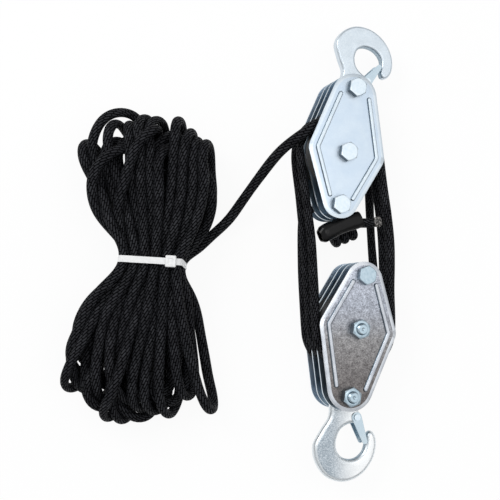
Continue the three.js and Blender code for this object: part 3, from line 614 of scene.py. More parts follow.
def ropeMesh(name, points, diameter, materials, cutEnds=True, squash=(1, 1), flare=0):
    # A tube along the points; a slack rope lies a little flat, with its wide side level.
    # Its map runs once round the rope, and along it in circumferences.
    sides, count = ropeSizes["sides"], len(points)
    ways = np.gradient(points, axis=0)
    ways /= rowNorm(ways)[:, None]
    side = np.cross([0, 0, 1], ways[0])
    side = side if norm(side) > 0.1 else np.array([1.0, 0, 0])
    wides = []
    for way in ways:
        level = np.cross([0, 0, 1], way)
        steady = norm(level)
        if steady > 1e-3:
            side = side + 0.1 * steady * (level if level @ side > 0 else -level)
        side = side - way * (way @ side)
        side = side / norm(side)
        wides.append(side)
    wides = np.array(wides)
    talls = np.cross(ways, wides)
    run = runAlong(points)
    size = np.ones(count)
    for swell, length, late in ropeFeel["swells"]:
        size += swell * np.sin(run / length + late)
    if cutEnds:
        size *= 1 + flare * np.clip(1 - (run[-1] - run) / ropeFeel["flared"], 0, 1)
        size[-3:] *= ropeFeel["roundedOff"]
    angle = 2 * np.pi * np.arange(sides) / sides
    across = (np.cos(angle) * squash[0])[None, :, None] * wides[:, None]
    up = (np.sin(angle) * squash[1])[None, :, None] * talls[:, None]
    rings = points[:, None] + diameter / 2 * size[:, None, None] * (across + up)
    k = np.arange(sides)
    first, beside = (np.arange(count - 1) * sides)[:, None], (k + 1) % sides
    quads = np.stack([first + k, first + beside, first + sides + beside, first + sides + k], axis=2)
    faces = quads.reshape(-1, 4).tolist() + [k[::-1].tolist(), ((count - 1) * sides + k).tolist()]
    mesh = bpy.data.meshes.new(name)
    mesh.from_pydata((rings.reshape(-1, 3) * mm).tolist(), [], faces)
    v = run / (math.pi * diameter)
    left, right = np.tile(k / sides, count - 1), np.tile((k + 1) / sides, count - 1)
    low, high = np.repeat(v[:-1], sides), np.repeat(v[1:], sides)
    uv = np.stack([left, low, right, low, right, high, left, high], axis=1).ravel()
    layer = mesh.uv_layers.new(name="UVMap")
    layer.data.foreach_set("uv", np.concatenate([uv, np.zeros(sides * 4)]).astype(np.float32))
    bm = bmesh.new()
    bm.from_mesh(mesh)
    outward(bm)
    bm.to_mesh(mesh)
    bm.free()
    for material in materials:
        mesh.materials.append(material)
    mesh.shade_smooth()
    return bpy.data.objects.new(name, mesh)


reeved = reevedRoute(fallLook)
reevedLine = smoothLine(placed(reeved, tackle), 2.6)
fallThick, knotThick = [ropeSizes["laden"] * ropeSizes[name] for name in ("fallSwell", "knotSwell")]
reevedPiece = ropeMesh("reeved-rope", reevedLine, fallThick, [ladenRopeFinish], False)
link(reevedPiece)
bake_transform(reevedPiece)
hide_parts("reeved_rope")

knotLine = smoothLine(placed(knotRoute(reeved[0], reeved[1], knotLook), tackle), 1.6)
knot = ropeMesh("becket-knot", knotLine, knotThick, [ladenRopeFinish, cutEnd], flare=0.3)
tip = Vector(knotLine[-1] * mm)
for face in knot.data.polygons:
    face.material_index = 1 if (face.center - tip).length < knotLook["cut"] * mm else 0
setUp(knot, "becket_knot")
print("reeved rope", round(lengthOf(reevedLine)), "mm, knot", round(lengthOf(knotLine)), "mm")

# the hauling part: a tail into a hank of twenty loops, folded over at both ends and drawn in at the waist
hankLook = {
    "at": (-192.6, -8.3, 0), "turn": -5.5, "entry": [[50, 25, 10], [43, 16, 9], [35, 8, 8]],
    # twelve outer loops round eight inner ones; each runs out low and comes back high
    "layers": [
        {"loops": 12, "tilt": 0.9, "low": 4.9, "high": 50.0, "waistLow": (5.4, 13.4), "waistHigh": (54.0, 46.0)},
        {"loops": 8, "tilt": 1.85, "low": 14.0, "high": 40.4, "waistLow": (20.0, 26.0), "waistHigh": (39.5, 33.0)},
    ],
    # where each run is set out, from the waist at 0 to its fold at 1, and how the folds are drawn
    "runShares": (0, 0.075, 0.22, 0.4, 0.6, 0.8, 1.0), "rise": 1.6, "middleColumns": 6,
    "foldSteps": 6, "foldStep": 4, "farthest": 33.0, "foldLean": 40,
    "waistAt": -5.5, "waistPitch": 4.9, "lobePitch": 10.3,
    "rightFan": (3.0, 0.8), "leftFan": (1.5, 1.0), "lowerFan": (1.7, 1.0),
    "upperReach": 146.0, "lowerReach": 156.0, "edgeDrop": 30.0, "foldRoom": 25.0,
    "upperDrift": -3.5, "lowerDrift": -11.5,
    "seed": 7, "uneven": ((-3, 3), (-6, 5), (-1, 1)),
    # from strand to strand sideways, and the share of it upwards; then how the strands are eased apart
    "spacing": 10.0, "height": 0.86, "rounds": 460, "closing": 60, "lookAgain": 8, "lookPast": 5, "give": 0.8,
    "home": 0.01, "shape": 0.06, "leastBend": 19.0, "unbend": 0.35,
    "waistHalf": 25.5, "waistLow": 6.4, "waistTop": 58.0, "flare": 0.028, "flareFrom": 3, "clear": 0.2,
}
# loops that lie out of line, for each lobe: how far a fold is moved across, out and up, and how far it opens
strays = {
    -1: {0: (20, 24, -2, -7.5), 1: (11, -2, 0, -3), 2: (4, 0, 0, 0), 5: (-10, 4, 4, 0), 7: (8, -4, 2, 2),
         9: (-8, -8, 4, 0), 10: (-2, 0, 0, 0), 11: (6, -20, 0, 0), 14: (10, -2, 5, 0), 16: (-14, 0, 6, 0)},
    1: {2: (4, -6, 0, 0), 4: (-8, -24, 8, 3), 6: (-10, -6, 5, 2), 7: (-6, -4, 0, 3), 8: (-9, 0, 0, 6),
        9: (25, 5, 8, 0), 10: (-17, -10, -4, 4), 11: (2, -6, 8, 0), 12: (6, -18, 2, 0), 15: (8, -20, 4, 0),
        17: (-9, -4, 4, 2), 18: (-9, -6, 4, 3), 19: (-8, 4, 4, 3)},
}


def hankLoops(h):
    loops = []
    for layer in h["layers"]:
        for i in range(layer["loops"]):
            waist = {name: layer[name][i % 2] for name in ("waistLow", "waistHigh")}
            loops.append({**layer, **waist, "column": (layer["loops"] - 1) / 2 - i})
    return loops


def hankStations(h):
    chance = random.Random(h["seed"])
    loops = hankLoops(h)
    shares = h["runShares"]
    stations = []

    def station(column, lobe, share, waist, lobeHeight, stray, opens):
        # share is 0 at the waist and 1 where the fold begins
        # the upper lobe bellies out on its right and flares late on its left
        right = min(1, max(0, 0.5 + column / h["middleColumns"]))
        steep, full = h["lowerFan"]
        if lobe > 0:
            steep, full = [a * right + b * (1 - right) for a, b in zip(h["rightFan"], h["leftFan"])]
        fan = steep * share - (steep - full) * share * share
        pitch = h["waistPitch"] + (h["lobePitch"] - h["waistPitch"]) * fan
        drift = (h["upperDrift"] if lobe > 0 else h["lowerDrift"]) * fan
        reach = (h["upperReach"] if lobe > 0 else h["lowerReach"]) - h["edgeDrop"] * (column / h["middleColumns"]) ** 2
        x = column * pitch + drift + (stray[0] + opens * stray[3]) * share * share
        y = h["waistAt"] * (1 - share) + lobe * (reach + stray[1] - h["foldRoom"]) * share
        z = waist + (lobeHeight - waist) * min(1, h["rise"] * share) + stray[2] * share
        return np.array([x, y, z])

    def addFold(a, b, lobe, aside):
        # a fold that is moved across also leans that way
        radius = norm(b - a) / 2
        way = np.array([aside / h["foldLean"], lobe, 0]) / math.hypot(aside / h["foldLean"], 1)
        count = max(h["foldSteps"], int(radius / h["foldStep"]))
        for k in range(1, count):
            angle = math.pi * k / count
            bulge = way * min(radius, h["farthest"]) * math.sin(angle)
            stations.append((a + b) / 2 - (b - a) / 2 * math.cos(angle) + bulge)

    def run(loop, column, level, lobe, opens):
        waist = loop["waistLow" if level == "low" else "waistHigh"]
        return [station(column, lobe, share, waist, loop[level], stray[lobe], opens) for share in shares]

    for i, loop in enumerate(loops):
        following = loops[min(i + 1, len(loops) - 1)]
        lowColumn, highColumn = loop["column"] + loop["tilt"], loop["column"] - loop["tilt"]
        nextColumn = following["column"] + following["tilt"]
        stray = {lobe: np.array(strays[lobe].get(i, (0, 0, 0, 0)), float)
                 + [*(chance.uniform(*limits) for limits in h["uneven"]), 0] for lobe in (-1, 1)}
        low, high = run(loop, lowColumn, "low", -1, 1), run(loop, highColumn, "high", -1, -1)
        stations.extend(low)
        addFold(low[-1], high[-1], -1, stray[-1][0])
        stations.extend(high[::-1])
        high, low = run(loop, highColumn, "high", 1, -1), run(following, nextColumn, "low", 1, 1)
        stations.extend(high[1:])
        addFold(high[-1], low[-1], 1, stray[1][0])
        stations.extend(low[:0:-1])
    return np.array(stations[:-3])


def nearestOnRuns(p, q, r, s):
    u, v, w = q - p, s - r, p - r
    a, b, c = (u * u).sum(1), (u * v).sum(1), (u * w).sum(1)
    e, f = (v * v).sum(1), (v * w).sum(1)
    x = np.clip((b * f - c * e) / np.maximum(a * e - b * b, 1e-9), 0, 1)
    y = np.clip((b * x + f) / e, 0, 1)
    x = np.clip((b * y - c) / a, 0, 1)
    return x, y, w + u * x[:, None] - v * y[:, None]


def nearRuns(points, reach):
    middle = (points[1:] + points[:-1]) / 2
    half = rowNorm(points[1:] - points[:-1]) / 2
    apart = norm(middle[:, None] - middle[None], axis=2)
    i, j = np.nonzero(apart < half[:, None] + half[None] + reach)
    keep = j >= i + 3
    return i[keep], j[keep]


def easeApart(points, h, fixed):
    # Strands that lie too close are pushed apart, a little each round, and drawn back towards their own shape.
    # The tie holds them in at the waist. A rope lies flat, so heights count for more while this runs.
    tall = np.array([1, 1, 1 / h["height"]])
    points = points * tall
    wanted = h["spacing"]
    floor = (ropeSizes["slack"] / 2 + h["clear"]) * tall[2]
    home = points.copy()
    homeBend = (home[:-2] + home[2:]) / 2 - home[1:-1]
    for step in range(h["rounds"]):
        if step % h["lookAgain"] == 0:
            i, j = nearRuns(points, wanted + h["lookPast"])
        x, y, way = nearestOnRuns(points[i], points[i + 1], points[j], points[j + 1])
        far = rowNorm(way)
        close = far < wanted
        ic, jc, xc, yc = i[close], j[close], x[close], y[close]
        push = ((wanted - far[close]) * 0.5 / np.maximum(far[close], 1e-6))[:, None] * way[close]
        weightX, weightY = (1 - xc) ** 2 + xc ** 2, (1 - yc) ** 2 + yc ** 2
        move, count = np.zeros_like(points), np.zeros(len(points))
        for index, share, sign, weight in ((ic, 1 - xc, 1, weightX), (ic + 1, xc, 1, weightX),
                                           (jc, 1 - yc, -1, weightY), (jc + 1, yc, -1, weightY)):
            np.add.at(move, index, sign * push * (share / weight)[:, None])
            np.add.at(count, index, share)
        points = points + h["give"] * move / np.maximum(count, 1)[:, None]
        bend = (points[:-2] + points[2:]) / 2 - points[1:-1]
        if step < h["rounds"] - h["closing"]:
            points += h["home"] * (home - points)
            points[1:-1] += h["shape"] * (bend - homeBend)
        chord, off = rowNorm(points[2:] - points[:-2]) / 2, rowNorm(bend)
        most = chord ** 2 / (2 * h["leastBend"])  # how far a point may stand off its neighbours' middle
        over = np.maximum(off - most, 0) / np.maximum(off, 1e-6)
        points[1:-1] += h["unbend"] * over[:, None] * bend
        flare = h["flare"] * np.maximum(np.abs(points[:, 1] - h["waistAt"]) - h["flareFrom"], 0) ** 2
        points[:, 0] = np.clip(points[:, 0], -h["waistHalf"] - flare, h["waistHalf"] + flare)
        points[:, 2] = np.clip(points[:, 2], (h["waistLow"] - flare) * tall[2], (h["waistTop"] + flare) * tall[2])
        points[:, 2] = np.maximum(points[:, 2], floor)
        points[:fixed] = home[:fixed]
    x, y, way = nearestOnRuns(points[i], points[i + 1], points[j], points[j + 1])
    print("closest strands", round(float(rowNorm(way).min()), 2), "mm from middle to middle")
    return points / tall


hankPlace = shift(hankLook["at"]) @ turned(hankLook["turn"], "Z")
hankRun = np.vstack([np.array(hankLook["entry"]), hankStations(hankLook)])
hankLine = placed(easeApart(hankRun, hankLook, 2), hankPlace)

# the tail leaves the front sheave and comes down over the floor to the hank
tailRoute = [(-63.7, 98.8, 48.5), (-85.7, 73.8, 33.5), (-105.7, 47.8, 21), (-117.7, 31.8, 14)]
tailStart = placed(reeved[-2:], tackle)
tailWay = (tailStart[1] - tailStart[0]) / norm(tailStart[1] - tailStart[0])
haulPoints = np.vstack([tailStart[1], tailStart[1] + tailWay * ropeSizes["slack"], tailRoute, hankLine])
haulLine = smoothLine(softened(smoothLine(haulPoints, ropeSizes["step"]), 4, 4), ropeSizes["step"])
haulLength = lengthOf(haulLine)
haul = ropeMesh("hauling-rope", haulLine, ropeSizes["drawn"], [rope], squash=ropeSizes["flat"])
setUp(haul, "hank", ("tail",))
print("hauling rope", round(haulLength), "mm")

# the tie round the waist
tieLook = {"lean": 2.5, "width": 6.6, "thick": 1.1, "snug": 0.3, "headAcross": 10.5, "headAlong": 11.5,
           "headRise": 5.0, "headFrom": 20.0, "headHalf": 14, "window": (2.6, 0.4, -0.9)}


def waistCrossings(along):
    local = placed(haulLine, hankPlace.inverted())
    a, b = local[:-1], local[1:]
    hit = (a[:, 1] - along) * (b[:, 1] - along) < 0
    share = ((along - a[hit, 1]) / (b[hit, 1] - a[hit, 1]))[:, None]
    return a[hit] + (b[hit] - a[hit]) * share


def tiePiece(look):
    # a band round every strand that crosses the waist, and its head standing on the band
    half, snug = look["width"] / 2, look["snug"]
    bm = bmesh.new()
    for x, _, z in np.vstack([waistCrossings(hankLook["waistAt"] + y) for y in (-half, 0, half)]):
        for side in (-1, 1):
            around = shift((x, side * half, z)) @ turned(90, "X")
            ops.create_circle(bm, segments=20, radius=ropeSizes["drawn"] / 2 - snug, matrix=around)
    hull = ops.convex_hull(bm, input=bm.verts[:], use_existing_faces=False)
    ops.delete(bm, geom=picked(hull["geom_interior"] + hull["geom_unused"], vertKind), context="VERTS")
    outward(bm)
    ops.delete(bm, geom=[f for f in bm.faces if abs(f.normal.y) > 0.7], context="FACES_ONLY")
    ops.delete(bm, geom=[e for e in bm.edges if not e.link_faces], context="EDGES")
    top = max(v.co.z for v in bm.verts if abs(v.co.x - look["headFrom"]) < look["headHalf"])
    ops.solidify(bm, geom=bm.faces[:], thickness=-look["thick"])
    outward(bm)
    bevelSharp(bm, 0.3, 2, 60)
    head = bmesh.new()
    size = Matrix.Diagonal((look["headAcross"], look["headAlong"], look["headRise"], 1))
    seat = shift((look["headFrom"], 0, top + look["headRise"] / 2 - snug))
    ops.create_cube(head, size=1, matrix=seat @ size)
    bevelSharp(head, 1.0, 3)
    lid = max(head.faces, key=lambda f: f.normal.z * 100 + f.calc_area())
    rim, wall, depth = look["window"]
    insetFace(head, lid, rim)
    insetFace(head, lid, wall, depth)
    outward(head)
    return joined(bm, head)


tiePlace = hankPlace @ shift((0, hankLook["waistAt"], 0)) @ turned(tieLook["lean"], "Z")
tie = toObject(tiePiece(tieLook), "hank_tie", tiePlace, [tieNylon])
print("tie made")

# cheek plates
plateLook = {
    "thick": 2, "corner": (40.5, 14), "hookEnd": (layout["hookBolt"] + 14.4, 24),
    "becketEnd": (layout["becketBolt"] + 13.5, 19.5), "hole": 5.3,
    "step": math.radians(5), "edge": 0.35, "rimWide": 3.6, "rimDrop": 0.75,
    "ribWidth": 4.6, "ribHeight": 1.7, "ribInset": 9, "ribHook": 57, "ribBecket": 45, "ribSunk": 0.2, "ribRound": 1.5,
}


def circleAt(far, radius, x, y):
    # a circle of the outline that reaches this far out
    return x * (far - radius), y * (far - radius), radius


plateCircles = [circleAt(*plateLook["corner"], 1, 0), circleAt(*plateLook["hookEnd"], 0, 1),
                circleAt(*plateLook["corner"], -1, 0), circleAt(*plateLook["becketEnd"], 0, -1)]


def beltNormal(a, b):
    # the way that the straight from one circle to the next faces
    across, along = b[0] - a[0], b[1] - a[1]
    return math.atan2(along, across) - math.pi / 2 + math.asin((a[2] - b[2]) / math.hypot(across, along))


def beltArcs(circles):
    arcs = []
    for k, circle in enumerate(circles):
        start = beltNormal(circles[k - 1], circle)
        end = beltNormal(circle, circles[(k + 1) % len(circles)])
        while end < start:
            end += 2 * math.pi
        arcs.append((*circle, start, end))
    return arcs


def ribArcs():
    # a rib keeps the same distance from the plate's edge, and has round ends
    corner, hookEnd, becketEnd = plateCircles[0], plateCircles[1], plateCircles[3]
    lower, upper = beltNormal(becketEnd, corner), beltNormal(corner, hookEnd)
    bend, half = plateLook["corner"][1] - plateLook["ribInset"], plateLook["ribWidth"] / 2

    def endAt(normal, along):
        slide = (along - bend * math.sin(normal)) / math.cos(normal)
        return corner[0] + bend * math.cos(normal) - slide * math.sin(normal), along, half

    return [(*endAt(lower, -plateLook["ribBecket"]), lower + math.pi, lower + 2 * math.pi),
            (corner[0], 0, bend + half, lower, upper), (*endAt(upper, plateLook["ribHook"]), upper, upper + math.pi),
            (corner[0], 0, bend - half, upper, lower)]


def ribPiece():
    bm = bmesh.new()
    arcLoop(bm, ribArcs(), math.radians(12))
    ops.contextual_create(bm, geom=bm.edges[:])
    drawnOut(bm, plateLook["ribHeight"] + plateLook["ribSunk"])
    rounded(bm, [e for e in sharpEdges(bm) if all(v.co.z > 0.5 for v in e.verts)], plateLook["ribRound"], 5)
    lifted(bm, plateLook["thick"] / 2 - plateLook["ribSunk"])
    ops.mirror(bm, geom=bm.verts[:] + bm.edges[:] + bm.faces[:], axis="X", merge_dist=-1)
    outward(bm)
    return bm


def platePiece(ribbed):
    bm = bmesh.new()
    arcLoop(bm, beltArcs(plateCircles), plateLook["step"])
    cutSheet(bm, boltRows.values(), plateLook["hole"], plateLook["thick"])
    if ribbed:  # the outer plates are pressed with their rims turned down a little
        ops.inset_region(bm, faces=[f for f in bm.faces if f.normal.z > 0.9], thickness=plateLook["rimWide"],
                         depth=0, use_boundary=True)
        for vert in bm.verts:
            fromHole = min(math.hypot(vert.co.x, vert.co.y - y) for y in boltRows.values())
            atEdge = vert.co.z > 0 and any(abs(f.normal.z) < 0.1 for f in vert.link_faces)
            if atEdge and fromHole >= plateLook["hole"] + 0.5:
                vert.co.z -= plateLook["rimDrop"]
    bevelSharp(bm, plateLook["edge"], 2)
    # flats take the plate's own finish, the rim and edges a lighter one as a painted highlight
    for face in bm.faces:
        face.material_index = 1 if abs(face.normal.z) > 0.99 else 0
    if not ribbed:
        return bm
    ribs = ribPiece()
    # the crest takes a lighter finish as a painted highlight, the steep foot a darker one as painted shade
    for face in ribs.faces:
        face.material_index = 2 if face.normal.z > 0.8 else 3
    return joined(bm, ribs)


def makePlates(block, place):
    # each plate's rim, flat, rib crest and rib foot have finishes of their own: painted highlight on the rim and
    # crest, painted shade on the foot; the faces between the plates see little light and their darker zinc is painted
    # shade
    for index, name in enumerate(("back", "inner_back", "inner_front", "front")):
        outer = name in ("back", "front")
        bm = platePiece(outer)
        if name == "back":
            turnedOver(bm)
        finish, slot = [zincRimHighlight, zinc if outer else innerZinc, ribCrestHighlight, ribFootShade], "zinc_plated_steel"
        if block == "lower" and name == "front":
            finish, slot = [galvanisedRimHighlight, galvanised, galvanisedRibHighlight, ribFootShade], "galvanised_steel"
        lift = shift((0, 0, (index - 1.5) * layout["pitch"]))
        toObject(bm, f"{block}_{name}_plate", place @ lift, finish)


# bolts, nuts, bushes and spacers
boltLook = {"radius": layout["boltRadius"], "across": 17, "head": 6.4, "nut": 8, "end": 3, "flat": 0.93, "seat": 0.3,
            "thread": 1.5, "rootDepth": 0.45, "stack": 23.5, "chamfer": math.radians(30),
            "bore": 0.7, "boreDepth": -0.6}


def hexPiece(height):
    # a round blank of 72 sides drawn in to six flats, its rim chamfered down towards the corners
    bm = bmesh.new()
    ops.create_cone(bm, cap_ends=True, segments=72, radius1=1, radius2=1, depth=height,
                    matrix=shift((0, 0, height / 2)))
    lid = max(bm.faces, key=lambda f: f.normal.z)
    insetFace(bm, lid, 0.1)
    inner = set(lid.verts)
    apothem, flat = boltLook["across"] / 2, boltLook["flat"] * boltLook["across"] / 2
    for vert in bm.verts:
        angle = math.atan2(vert.co.y, vert.co.x)
        within = (angle + math.pi / 6) % (math.pi / 3) - math.pi / 6
        radius = flat if vert in inner else apothem / math.cos(within)
        if vert.co.z > height / 2 and vert not in inner:
            vert.co.z = height - (radius - flat) * math.tan(boltLook["chamfer"])
        vert.co.x, vert.co.y = radius * math.cos(angle), radius * math.sin(angle)
    bm.normal_update()
    # the side faces take the second finish, a darker one: painted shade
    for face in bm.faces:
        face.material_index = 1 if abs(face.normal.z) < 0.3 else 0
    return bm


def threadProfile(start, end):
    # the rolled thread's crests and roots, then the chamfered point with its centre dimple
    radius, pitch = boltLook["radius"], boltLook["thread"]
    root = radius - boltLook["rootDepth"]
    points = []
    for k in range(max(1, int((end - start - 1) / pitch))):
        z = start + k * pitch
        points += [(radius, z), (radius, z + 0.35 * pitch), (root, z + 0.6 * pitch), (root, z + 0.8 * pitch)]
    return points + [(radius, end - 1), (radius, end - 0.8), (radius - 0.9, end),
                     (1.8, end), (1.2, end - 0.5), (0, end - 0.8)]


def boltPiece():
    stack, face = boltLook["stack"], boltLook["stack"] + boltLook["seat"]
    head = hexPiece(boltLook["head"])
    lifted(head, face)
    inside = [(0, -stack - 2), (boltLook["radius"], -stack - 2)]  # the shank begins a little inside the head
    shank = spun(inside + threadProfile(stack + 1, face + boltLook["nut"] + boltLook["end"]), 40)
    turnedOver(shank)
    return joined(head, shank)


def nutPiece():
    bm = hexPiece(boltLook["nut"])
    lid = max(bm.faces, key=lambda f: (f.normal.z > 0.9, f.calc_area()))
    bore = boltLook["radius"] + boltLook["seat"]
    insetFace(bm, lid, boltLook["flat"] * boltLook["across"] / 2 - bore - boltLook["bore"])
    insetFace(bm, lid, boltLook["bore"], boltLook["boreDepth"])
    foot = min(bm.faces, key=lambda f: (f.normal.z, -f.calc_area()))
    ops.delete(bm, geom=[lid], context="FACES_ONLY")
    inner = [e for e in bm.edges if len(e.link_faces) == 1]
    insetFace(bm, foot, boltLook["across"] / 2 - bore)
    ops.delete(bm, geom=[foot], context="FACES_ONLY")
    outer = [e for e in bm.edges if len(e.link_faces) == 1 and e not in inner]
    ops.bridge_loops(bm, edges=inner + outer)
    outward(bm)
    turnedOver(bm)
    lifted(bm, -boltLook["stack"] - boltLook["seat"])
    return bm


def makeBolts(block, place, heads, finish):
    # a head at 1 lies on the block's front, and at -1 on its back
    for (name, along), side in zip(boltRows.items(), heads):
        at = place @ shift((0, along, 0)) @ turned(0 if side > 0 else 180, "Y")
        toObject(boltPiece(), f"{block}_{name}_bolt", at, finish)
        toObject(nutPiece(), f"{block}_{name}_nut", at, finish)


# one tube serves as bush and as spacer
tubeLook = {"half": 6.2, "bore": 5.3, "wall": 2, "chamfer": 0.4}


def tubePiece():
    half, bore, wall, cut = tubeLook.values()
    out = bore + wall
    end = [(bore, -half + cut), (bore + cut, -half), (out - cut, -half), (out, -half + cut)]
    return spun(end + [(radius, -height) for radius, height in reversed(end)] + end[:1], 48)


# sheaves
sheaveLook = {"half": 5.9, "rim": 38.7, "bore": 7.6, "hub": 13, "web": 27, "recess": 1.6, "draft": 0.8}


def sheavePiece():
    half, rim, bore, hub, web, recess, draft = sheaveLook.values()
    seat, foot = ladenRadius + ropeSizes["seat"], recess - half
    side = [(bore, -half), (hub, -half), (hub + draft, foot), (web, foot), (web + draft, -half),
            (rim - draft, -half), (rim, -half + 0.5)]
    groove = [(ropeCircle - seat * math.cos(a), seat * math.sin(a)) for a in np.linspace(-1.31, 1.31, 13)]
    other = [(radius, -height) for radius, height in reversed(side)]
    return spun(side + groove + other + side[:1], 96)


# hooks, forged: the outline runs from the round eye down the back, round the bowl and up inside the mouth
hookLook = {
    "thick": 10, "eye": 13.5, "breadth": 63.4, "bore": 5.3,
    # in shares of the breadth and of the reach from the bolt to the bowl; the middle is the mouth's
    "middle": (0.07, 0.75),
    "back": [(-0.205, 0.17), (-0.235, 0.31), (-0.39, 0.49), (-0.548, 0.72), (-0.535, 0.98), (-0.385, 1.22),
             (-0.12, 1.335), (0.17, 1.28), (0.4, 1.08), (0.498, 0.83), (0.485, 0.68), (0.44, 0.622)],
    "mouth": [(0.385, 0.628), (0.345, 0.68), (0.318, 0.78), (0.255, 0.92), (0.13, 1.0), (0, 1.0), (-0.115, 0.94),
              (-0.178, 0.82), (-0.158, 0.66), (-0.07, 0.525), (0.07, 0.462), (0.2, 0.458), (0.285, 0.4),
              (0.272, 0.3), (0.225, 0.19)],
}


def beyond(edges, radius):
    return [e for e in edges if all(math.hypot(v.co.x, v.co.y) > radius for v in e.verts)]


def hookPiece(mouth, reach, edge):
    # the eye's arc opens downwards, so it runs over the top of the bolt
    bore, breadth = hookLook["bore"], hookLook["breadth"]
    arc = np.linspace(0.1 * math.pi, -1.1 * math.pi, 30)
    eye = [(hookLook["eye"] * math.cos(a), hookLook["eye"] * math.sin(a), 0) for a in arc]
    sweep = [(x * breadth, y * reach, 0) for x, y in hookLook["back"] + hookLook["mouth"]]
    line = smoothLine(eye[-2:] + sweep + eye[:2], 2.0)
    start, end = [np.argmin(rowNorm(line - point)) for point in (eye[-1], eye[0])]
    points = eye + [tuple(p) for p in line[start + 1:end]]
    bm = bmesh.new()
    verts = [bm.verts.new((x * mouth, y, 0)) for x, y, _ in points]
    for a, b in zip(verts, verts[1:] + verts[:1]):
        bm.edges.new((a, b))
    cutSheet(bm, [0], bore, hookLook["thick"])
    rim = set(beyond(sharpEdges(bm), bore + 1))
    rounded(bm, [e for e in sharpEdges(bm) if e not in rim], 0.5, 2)
    rounded(bm, beyond(sharpEdges(bm, 60), bore + 1.5), edge, 6, False)
    outward(bm)
    x, y = hookLook["middle"]
    middle = Vector((x * breadth * mouth, y * reach, 0))
    # flat faces keep the hook's own finish; the mouth's inner wall takes the darker one as painted shade, and the
    # lower hook's rounded edges a lighter one as a painted highlight
    for face in bm.faces:
        steep = abs(face.normal.z)
        inside = steep < 0.4 and face.normal.dot(middle - face.calc_center_median()) > 0
        face.material_index = 0 if steep > 0.97 else 2 if inside else 1
    return bm


# small parts that keep their solid's shape and get rounded edges
def refined(node, material, width, segments, sharp=35, block=None):
    bm = bmesh.new()
    bm.from_mesh(frame["nodes"][node].data)
    ops.transform(bm, matrix=Matrix.Scale(1 / mm, 4), verts=bm.verts[:])
    ops.remove_doubles(bm, verts=bm.verts[:], dist=1e-3)
    ops.dissolve_limit(bm, angle_limit=math.radians(1), verts=bm.verts[:], edges=bm.edges[:])
    if block:  # a hair narrower, to run clear between the inner plates
        bm.transform(block.inverted())
        ops.scale(bm, verts=bm.verts[:], vec=(1, 1, 0.98))
        bm.transform(block)
    if width:
        bevelSharp(bm, width, segments, 45)
    return toObject(bm, node, Matrix.Identity(4), [material], sharp)


def makeBlock(block, place, look):
    makePlates(block, place)
    makeBolts(block, place, look["heads"], look["boltFinish"])
    for index, letter in enumerate("abc"):
        bay = place @ shift((0, 0, (index - 1) * layout["pitch"]))
        toObject(sheavePiece(), f"{block}_sheave_{letter}", bay, [nylon])
        toObject(tubePiece(), f"{block}_bush_{letter}", bay, [bushBronze])
        for name in ("hook", "becket"):
            node = f"{block}_{name}_spacer_{letter}"
            if node in frame["nodes"]:
                toObject(tubePiece(), node, bay @ shift((0, boltRows[name], 0)), [bright])
    hookAt = hookPlace(place, look["mouth"], look["swing"])
    hook = hookPiece(look["mouth"], look["reach"], look["edge"])
    toObject(hook, f"{block}_hook", hookAt, look["hookFinish"], 50)
    refined(f"{block}_hook_latch", latchShade, 0.35, 2, block=place)
    refined(f"{block}_latch_pin", bright, 0.25, 2)
    refined(f"{block}_latch_spring", wire, 0, 0, 80)
    print(block, "block made")


# mouth is the side that the hook opens to, edge how far the forging is rounded over
blockLook = {
    "upper": {"mouth": 1, "reach": 53, "swing": 19, "edge": 2.4, "heads": (1, 1, 1), "boltFinish": [bright, headSideShade],
              "hookFinish": [upperForged, upperForged, mouthShadeForged]},
    "lower": {"mouth": -1, "reach": 63.4, "swing": 15, "edge": 4.2, "heads": (-1, -1, 1),
              "boltFinish": [lowerFastenerShade, lowerHeadSideShade], "hookFinish": [lowerForged, edgeHighlightForged, mouthShadeForged]},
}
makeBlock("upper", upperPlace, blockLook["upper"])
makeBlock("lower", lowerPlace, blockLook["lower"])
toObject(sleevePiece(sleeveLook), "knot_sleeve", tackle, [sleeve, cutEnd], 60)

# floor and light
roomLook = {"half": 3.0, "below": -0.0004, "sky": 0.75, "horizon": 0.30, "rise": (0.05, 0.85), "glow": 0.92}


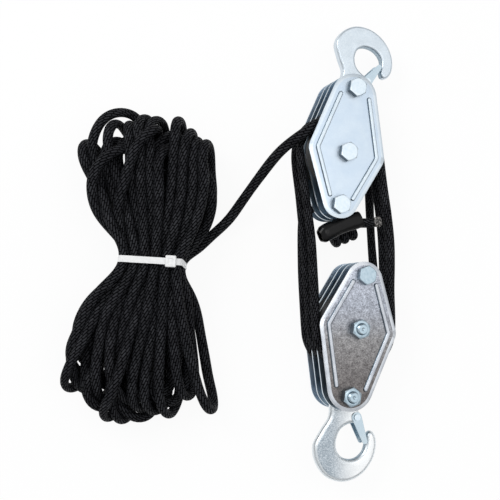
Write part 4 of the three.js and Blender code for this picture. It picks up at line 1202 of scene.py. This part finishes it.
def makeFloor(look):
    bm = bmesh.new()
    ops.create_grid(bm, x_segments=1, y_segments=1, size=look["half"])
    mesh = toMesh(bm, "floor")
    floor = bpy.data.objects.new("floor", mesh)
    link(floor)
    floor.location.z = look["below"]
    # white studio board: the camera and the metal see it near full white, and it keeps a little shadow
    m = newMaterial("whiteStudioBoard")
    path = addNode(m, "ShaderNodeLightPath").outputs
    seen = maths(m, "MAXIMUM", path["Is Camera Ray"], path["Is Glossy Ray"])
    seen = maths(m, "MAXIMUM", seen, path["Is Transmission Ray"])
    share = maths(m, "MULTIPLY", seen, look["glow"])
    board = addNode(m, "ShaderNodeBsdfDiffuse", inputs={"Color": fromHex(white)}).outputs[0]
    glow = addNode(m, "ShaderNodeEmission", inputs={"Color": fromHex(white), "Strength": 1.0}).outputs[0]
    mix = addNode(m, "ShaderNodeMixShader", inputs={0: share, 1: board, 2: glow})
    feed(m, m.node_tree.nodes["Material Output"].inputs["Surface"], mix.outputs[0])
    mesh.materials.append(m)


def makeSky(look):
    # a pale sky, darker towards the horizon so that the metal has something to show
    world = bpy.data.worlds.new("studio")
    bpy.context.scene.world = world
    world.use_nodes = True
    rise = gradual(world, coordinate(world, "Z", "Generated"), *look["rise"], look["horizon"], look["sky"])
    seen = addNode(world, "ShaderNodeLightPath").outputs["Is Camera Ray"]
    background = world.node_tree.nodes["Background"].inputs
    feed(world, background["Color"], fromHex("fdfeff"))
    feed(world, background["Strength"], between(world, seen, rise, 1.0))


# where each lamp stands, what it aims at, its size and its power
lampLook = {"key": ((-1.1, 0.9, 1.5), (-0.05, 0, 0), 1.0, 12), "fill": ((1.55, 0.1, 1.75), (0, 0, 0), 2.0, 6.4),
            "edge": ((0.5, 0.1, 1.9), (0, 0, 0), 0.6, 2.0)}


def softbox(name, at, aim, size, power):
    data = bpy.data.lights.new(name, "AREA")
    data.shape, data.size, data.energy = "SQUARE", size, power
    lamp = bpy.data.objects.new(name, data)
    lamp.location = at
    lamp.rotation_euler = (Vector(aim) - Vector(at)).to_track_quat("-Z", "Y").to_euler()
    link(lamp)


makeFloor(roomLook)
makeSky(roomLook)
for name, lamp in lampLook.items():
    softbox(name, *lamp)
bpy.context.scene.view_settings.view_transform = "Standard"
print("floor and light set")
